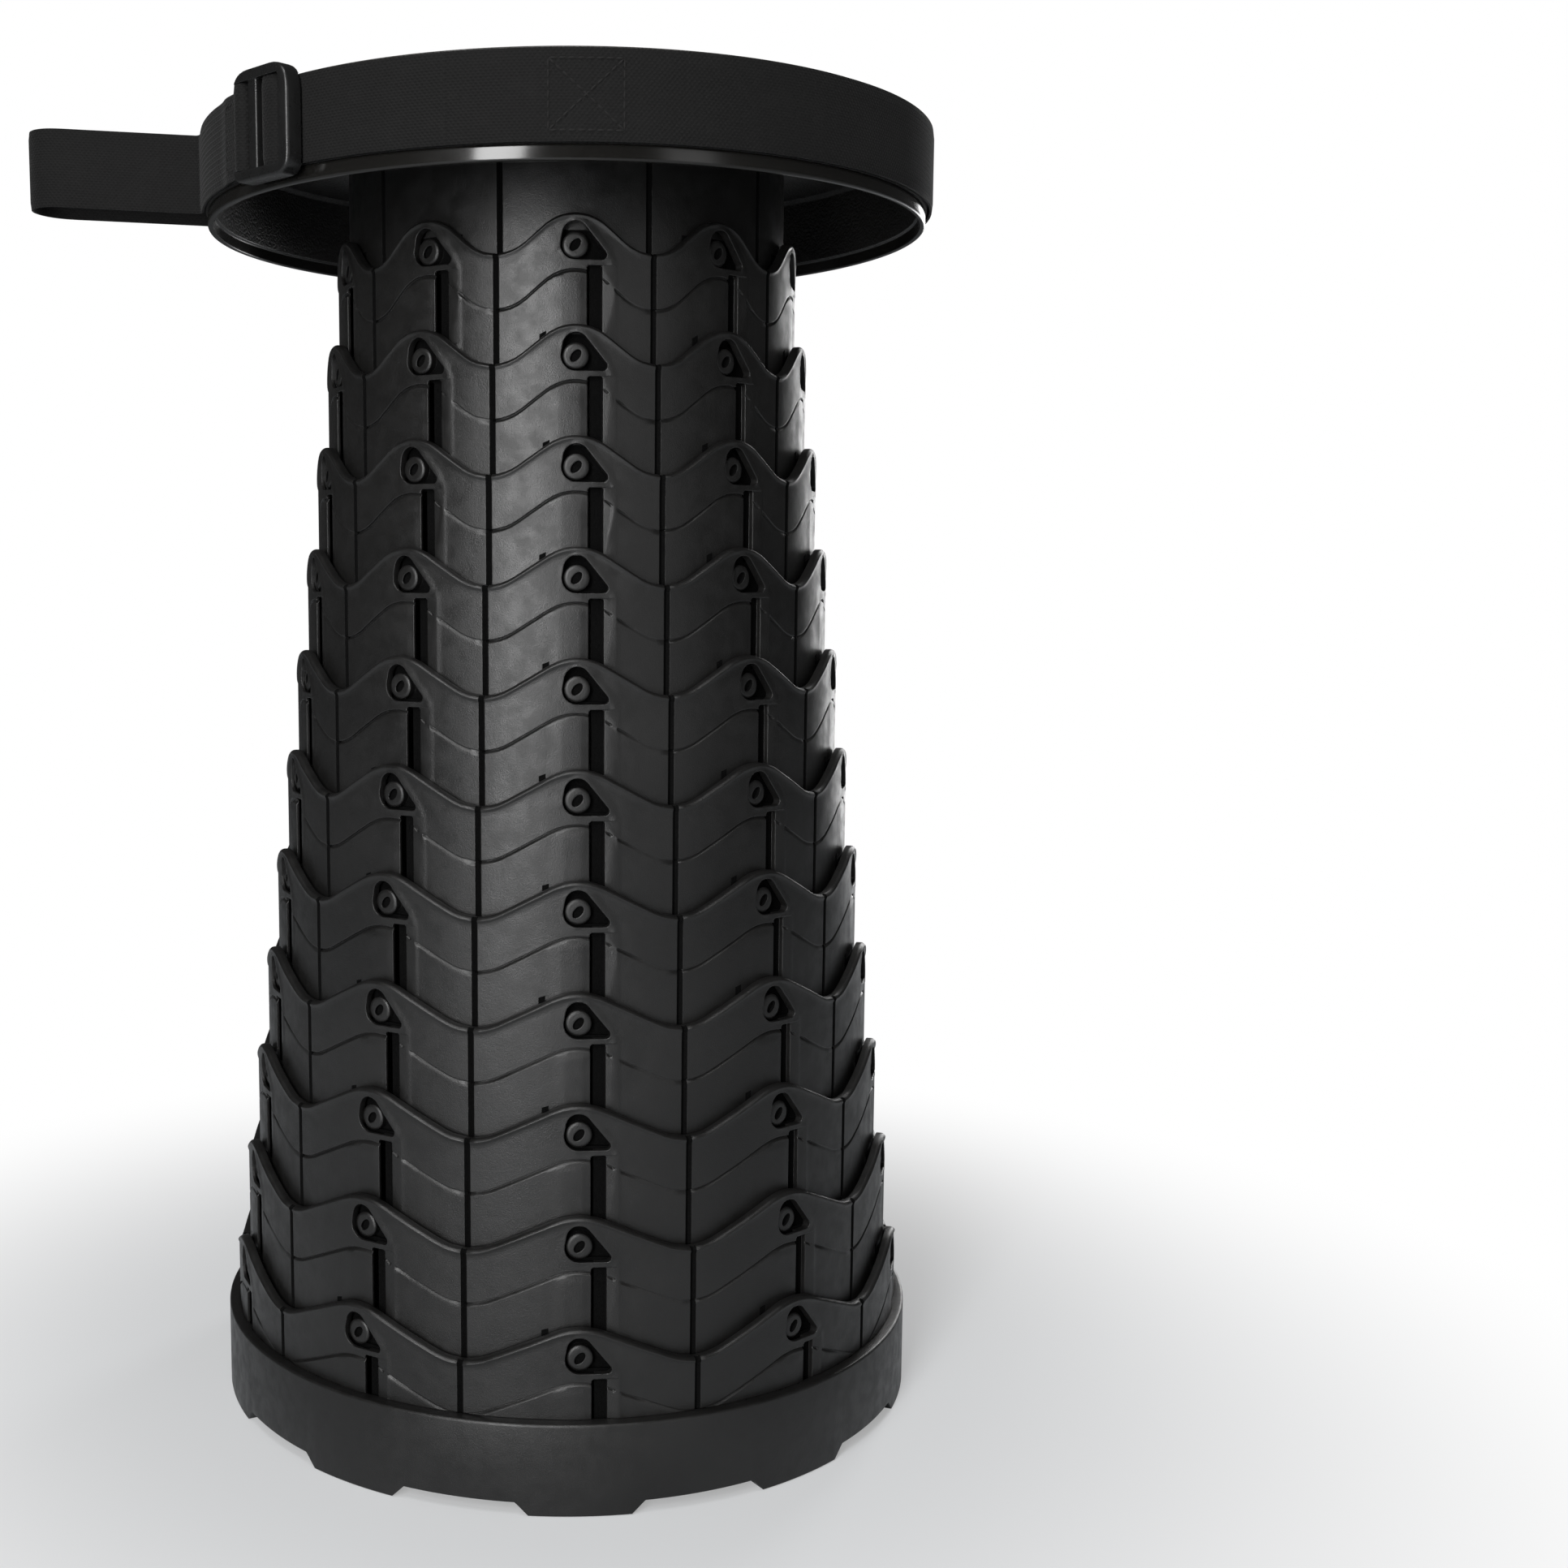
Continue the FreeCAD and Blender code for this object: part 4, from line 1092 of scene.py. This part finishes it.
def stitch_line(bm, angle, radius, start, stop):
    """Row of stitches on a drum of the given radius; start and stop are (run, height) from a centre."""
    start, stop = Vector(start), Vector(stop)
    count = max(round((stop - start).length / STITCH_PITCH), 1)
    slant = (stop - start).normalized()
    for index in range(count):
        spot = start.lerp(stop, (index + 0.5) / count)
        turn = angle + math.degrees(spot.x / radius)
        outwards = around(turn, 1)
        side = around(turn + 90, 1)
        run = side * slant.x + Vector((0, 0, 1)) * slant.y
        add_stitch(bm, around(turn, radius, STRAP_MID_Z + spot.y), outwards, run.normalized())


def box_stitch(bm, angle, radius, half_run, half_rise, crossed=True):
    corners = [(-half_run, -half_rise), (half_run, -half_rise), (half_run, half_rise), (-half_run, half_rise)]
    for first, second in zip(corners, corners[1:] + corners[:1]):
        stitch_line(bm, angle, radius, first, second)
    if crossed:
        stitch_line(bm, angle, radius, corners[0], corners[2])
        stitch_line(bm, angle, radius, corners[1], corners[3])


def build_webbing(material, thread):
    belt = webbing_strip(arc_path(STRAP_IN + STRAP_THICK / 2, 180, 540))
    make_piece(belt, "belt_webbing", "seat", material, ["strap_belt"], sharp=60)
    tail = webbing_strip(arc_path(TAIL_MID, LEAD_ANGLE, 178))
    make_piece(tail, "tail_webbing", "seat", material, ["strap_tail"], sharp=60)
    lead = webbing_strip(lead_path(), 1.3)
    piece = make_piece(lead, "lead_webbing", None, material, sharp=60)
    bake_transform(piece)
    loop = webbing_strip(loop_path(), 1.3, rise=loop_rise)
    make_piece(loop, "loop_webbing", "seat", material, ["handle_loop"], sharp=60)
    bm = bmesh.new()
    box_stitch(bm, 0.6, TAIL_MID + STRAP_THICK / 2, 11, 10)
    for height in (-9, 9):
        stitch_line(bm, 177.2, TAIL_MID + STRAP_THICK / 2, (-14, height), (0, height))
    box_stitch(bm, -101.6, STRAP_OUT + 1.5, 5.5, 10)
    box_stitch(bm, BUCKLE_ANGLE - math.degrees(24 / STRAP_OUT), STRAP_OUT + 2.95, 2.6, 10, crossed=False)
    make_piece(bm, "strap_stitches", "seat", thread)


# ---- Buckle -------------------------------------------------------------------------------------

BUCKLE_INNER = STRAP_OUT + 0.9
BUCKLE_THICK = 6.4
BUCKLE_LONG = 28.0
BUCKLE_TALL = 33.2
PIVOT_ALONG = -10.8
AXLE_RADIUS = 1.9
OPENING_HALF = 13.2


def buckle_block(bm, along, out, height, bevel=0.0):
    """Bevelled box in the buckle's axes; each argument is a (low, high) pair, heights from its middle."""
    box = bmesh.new()
    bmesh.ops.create_cube(box, size=1)
    sizes = [high - low for low, high in (along, out, height)]
    middles = [(high + low) / 2 for low, high in (along, out, height)]
    bmesh.ops.scale(box, vec=sizes, verts=box.verts)
    bmesh.ops.translate(box, vec=middles, verts=box.verts)
    if bevel:
        bmesh.ops.bevel(box, geom=box.edges[:], offset=bevel, segments=3, profile=0.5, affect="EDGES",
                        material=-1)
    if bm is None:
        return box
    return join_solids(bm, box)


def buckle_frame():
    """Frame of the ladder-lock buckle with its bars, drawn with x along it and y outwards."""
    half_long, half_tall = BUCKLE_LONG / 2, BUCKLE_TALL / 2
    outer = BUCKLE_INNER + BUCKLE_THICK
    outline = rounded([(-half_long, -half_tall, 4.5), (half_long, -half_tall, 6.0),
                       (half_long, half_tall, 9.0),
                       (-half_long, half_tall, 7.5)], 5, 8)
    bm = bmesh.new()
    prism(bm, outline, BUCKLE_INNER, outer)
    rims = [e for e in bm.edges if len({round(v.co.y, 3) for v in e.verts}) == 1]
    bmesh.ops.bevel(bm, geom=rims, offset=1.1, segments=4, profile=0.5, affect="EDGES", material=-1)
    open_height = (-OPENING_HALF, OPENING_HALF)
    hole = buckle_block(None, (-half_long - 3, 9.7), (BUCKLE_INNER - 2, outer + 2), open_height)
    upright = [e for e in hole.edges if abs(e.verts[0].co.y - e.verts[1].co.y) > 1]
    bmesh.ops.bevel(hole, geom=upright, offset=1.0, segments=3, profile=0.5, affect="EDGES", material=-1)
    bm = cut_away(bm, hole)
    relief = (BUCKLE_INNER - 2, BUCKLE_INNER + 0.95)
    bm = cut_away(bm, buckle_block(None, (9, half_long + 2), relief, open_height))
    reach = (-OPENING_HALF - 1.2, OPENING_HALF + 1.2)
    bm = buckle_block(bm, (-6.1, -1.8), (BUCKLE_INNER + 1.3, outer - 0.5), reach, 0.7)
    bm = buckle_block(bm, (1.8, 6.1), (BUCKLE_INNER + 1.5, outer - 2.0), reach, 0.7)
    axle = bmesh.new()
    bmesh.ops.create_cone(axle, segments=28, radius1=AXLE_RADIUS, radius2=AXLE_RADIUS,
                          depth=2 * OPENING_HALF + 2.4, cap_ends=True)
    bmesh.ops.translate(axle, verts=axle.verts, vec=(PIVOT_ALONG, outer - BUCKLE_THICK / 2, 0))
    return join_solids(bm, axle)


def build_buckle(material):
    bm = buckle_frame()
    for vert in bm.verts:
        spot = buckle_point(vert.co.x, vert.co.y)
        vert.co = spot + Vector((0, 0, STRAP_MID_Z + vert.co.z))
    make_piece(bm, "buckle_moulding", "buckle_body", material, ["buckle"], sharp=30)


# ---- Camera, light and floor --------------------------------------------------------------------

CAMERA_DISTANCE = 673.2
CAMERA_HEIGHT = 293.7
CAMERA_TILT = 6.49
CAMERA_ANGLE = -1.98
CAMERA_LENS = 42.27
CAMERA_SHIFT = 0.1387


def add_camera():
    data = bpy.data.cameras.new("camera")
    data.sensor_width = 36.0
    data.lens = CAMERA_LENS
    data.shift_x = CAMERA_SHIFT
    camera = bpy.data.objects.new("camera", data)
    camera.location = around(CAMERA_ANGLE, CAMERA_DISTANCE, CAMERA_HEIGHT) * MM
    camera.rotation_euler = (math.radians(90 - CAMERA_TILT), 0, math.radians(CAMERA_ANGLE))
    bpy.context.scene.collection.objects.link(camera)
    bpy.context.scene.camera = camera


def add_lamp(name, angle, distance, height, aim, size, power):
    """Rectangular soft lamp at an angle round the stool, aimed at a height on its axis."""
    data = bpy.data.lights.new(name, "AREA")
    data.shape = "RECTANGLE"
    data.size, data.size_y = size
    data.energy = power
    lamp = bpy.data.objects.new(name, data)
    lamp.location = around(angle, distance, height) * MM
    towards = Vector((0, 0, aim * MM)) - lamp.location
    lamp.rotation_euler = towards.to_track_quat("-Z", "Y").to_euler()
    bpy.context.scene.collection.objects.link(lamp)


def add_lights():
    add_lamp("key", -21, 1500, 560, 230, (0.36, 1.5), 26)
    add_lamp("fill", 34, 2000, 420, 230, (0.5, 1.4), 2.6)
    add_lamp("top", -20, 900, 1800, 300, (0.7, 0.7), 10)
    add_lamp("rim", 146, 1300, 420, 250, (0.3, 1.4), 7)


def add_world():
    world = bpy.data.worlds.new("studio")
    bpy.context.scene.world = world
    world.use_nodes = True
    nodes, links = world.node_tree.nodes, world.node_tree.links
    background = nodes["Background"]
    background.inputs["Color"].default_value = (1, 1, 1, 1)
    path = nodes.new("ShaderNodeLightPath")
    strength = nodes.new("ShaderNodeMapRange")
    strength.inputs["To Min"].default_value = 0.05
    strength.inputs["To Max"].default_value = 1.0
    links.new(path.outputs["Is Camera Ray"], strength.inputs["Value"])
    links.new(strength.outputs["Result"], background.inputs["Strength"])


def add_floor():
    """Pale floor that keeps the stool's shadow and fades to white in the camera's own view."""
    bm = bmesh.new()
    bmesh.ops.create_circle(bm, cap_ends=True, segments=96, radius=6.0)
    mesh = bpy.data.meshes.new("floor")
    bm.to_mesh(mesh)
    bm.free()
    floor = bpy.data.objects.new("floor", mesh)
    floor.location.z = -0.0002
    bpy.context.scene.collection.objects.link(floor)
    finish = Finish("pale_floor", (0.62, 0.64, 0.66), 0.6, 0.2)
    glow = finish.node("Emission", in_color=(1, 1, 1, 1), in_strength=1.0)
    mix = finish.node("MixShader")
    path = finish.node("LightPath")
    away = finish.node("VectorMath", operation="LENGTH", in_0=finish.place()).outputs["Value"]
    share = finish.ramp(away, 0.12, 0.42, 0.35, 1.0)
    share = finish.maths("MULTIPLY", path.outputs["Is Camera Ray"], share)
    finish.feed(mix.inputs[0], share)
    finish.tree.links.new(finish.shader.outputs[0], mix.inputs[1])
    finish.tree.links.new(glow.outputs[0], mix.inputs[2])
    finish.tree.links.new(mix.outputs[0], finish.tree.nodes["Material Output"].inputs[0])
    mesh.materials.append(finish.material)


# ---- The scene ----------------------------------------------------------------------------------

scene = bpy.context.scene
scene.view_settings.view_transform = "Standard"
add_camera()
add_lights()
add_world()
add_floor()
ring_plastic = moulded_plastic("ring_plastic_grain", (0.0068, 0.0066, 0.0064), 0.38)
plate_plastic = moulded_plastic("plate_plastic_grain", (0.013, 0.013, 0.013), 0.55)
buckle_plastic = moulded_plastic("buckle_plastic_gloss", (0.008, 0.008, 0.008), 0.3, 0.00002)
seat_plastic = pebbled_seat("seat_plastic_pebble", (0.0075, 0.0071, 0.0064), SEAT_TOP * MM, LIP_TOP * MM)
cap_plastic = pebbled_seat("cap_plastic_pebble", (0.0075, 0.0071, 0.0064), SEAT_TOP * MM)
# Near-black painted shade for slot floors, seams, stud dimples and the walls behind the windows.
painted_slot_shade = painted_shade_recess("slot_floor_matt", (0.002, 0.002, 0.002))
webbing = ribbed_webbing("webbing_weave", (0.0032, 0.0031, 0.003))
thread = ribbed_webbing("thread_twist", (0.009, 0.0087, 0.0085))
screw_steel = plain_metal("screw_zinc", (0.42, 0.42, 0.43), 0.34)
rivet_steel = plain_metal("rivet_black", (0.16, 0.16, 0.16), 0.36)

build_rings((ring_plastic, painted_slot_shade))
build_seat_tube((ring_plastic, painted_slot_shade))
build_foot((ring_plastic, painted_slot_shade))
build_seat(seat_plastic)
build_cap(cap_plastic)
build_webbing(webbing, thread)
build_buckle(buckle_plastic)

finishes = {"base_plate": plate_plastic, "base_screws": screw_steel, "seat_screws": screw_steel,
            "strap_rivets": rivet_steel}
for name, material in finishes.items():
    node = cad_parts[name]
    node.data.materials.clear()
    node.data.materials.append(material)
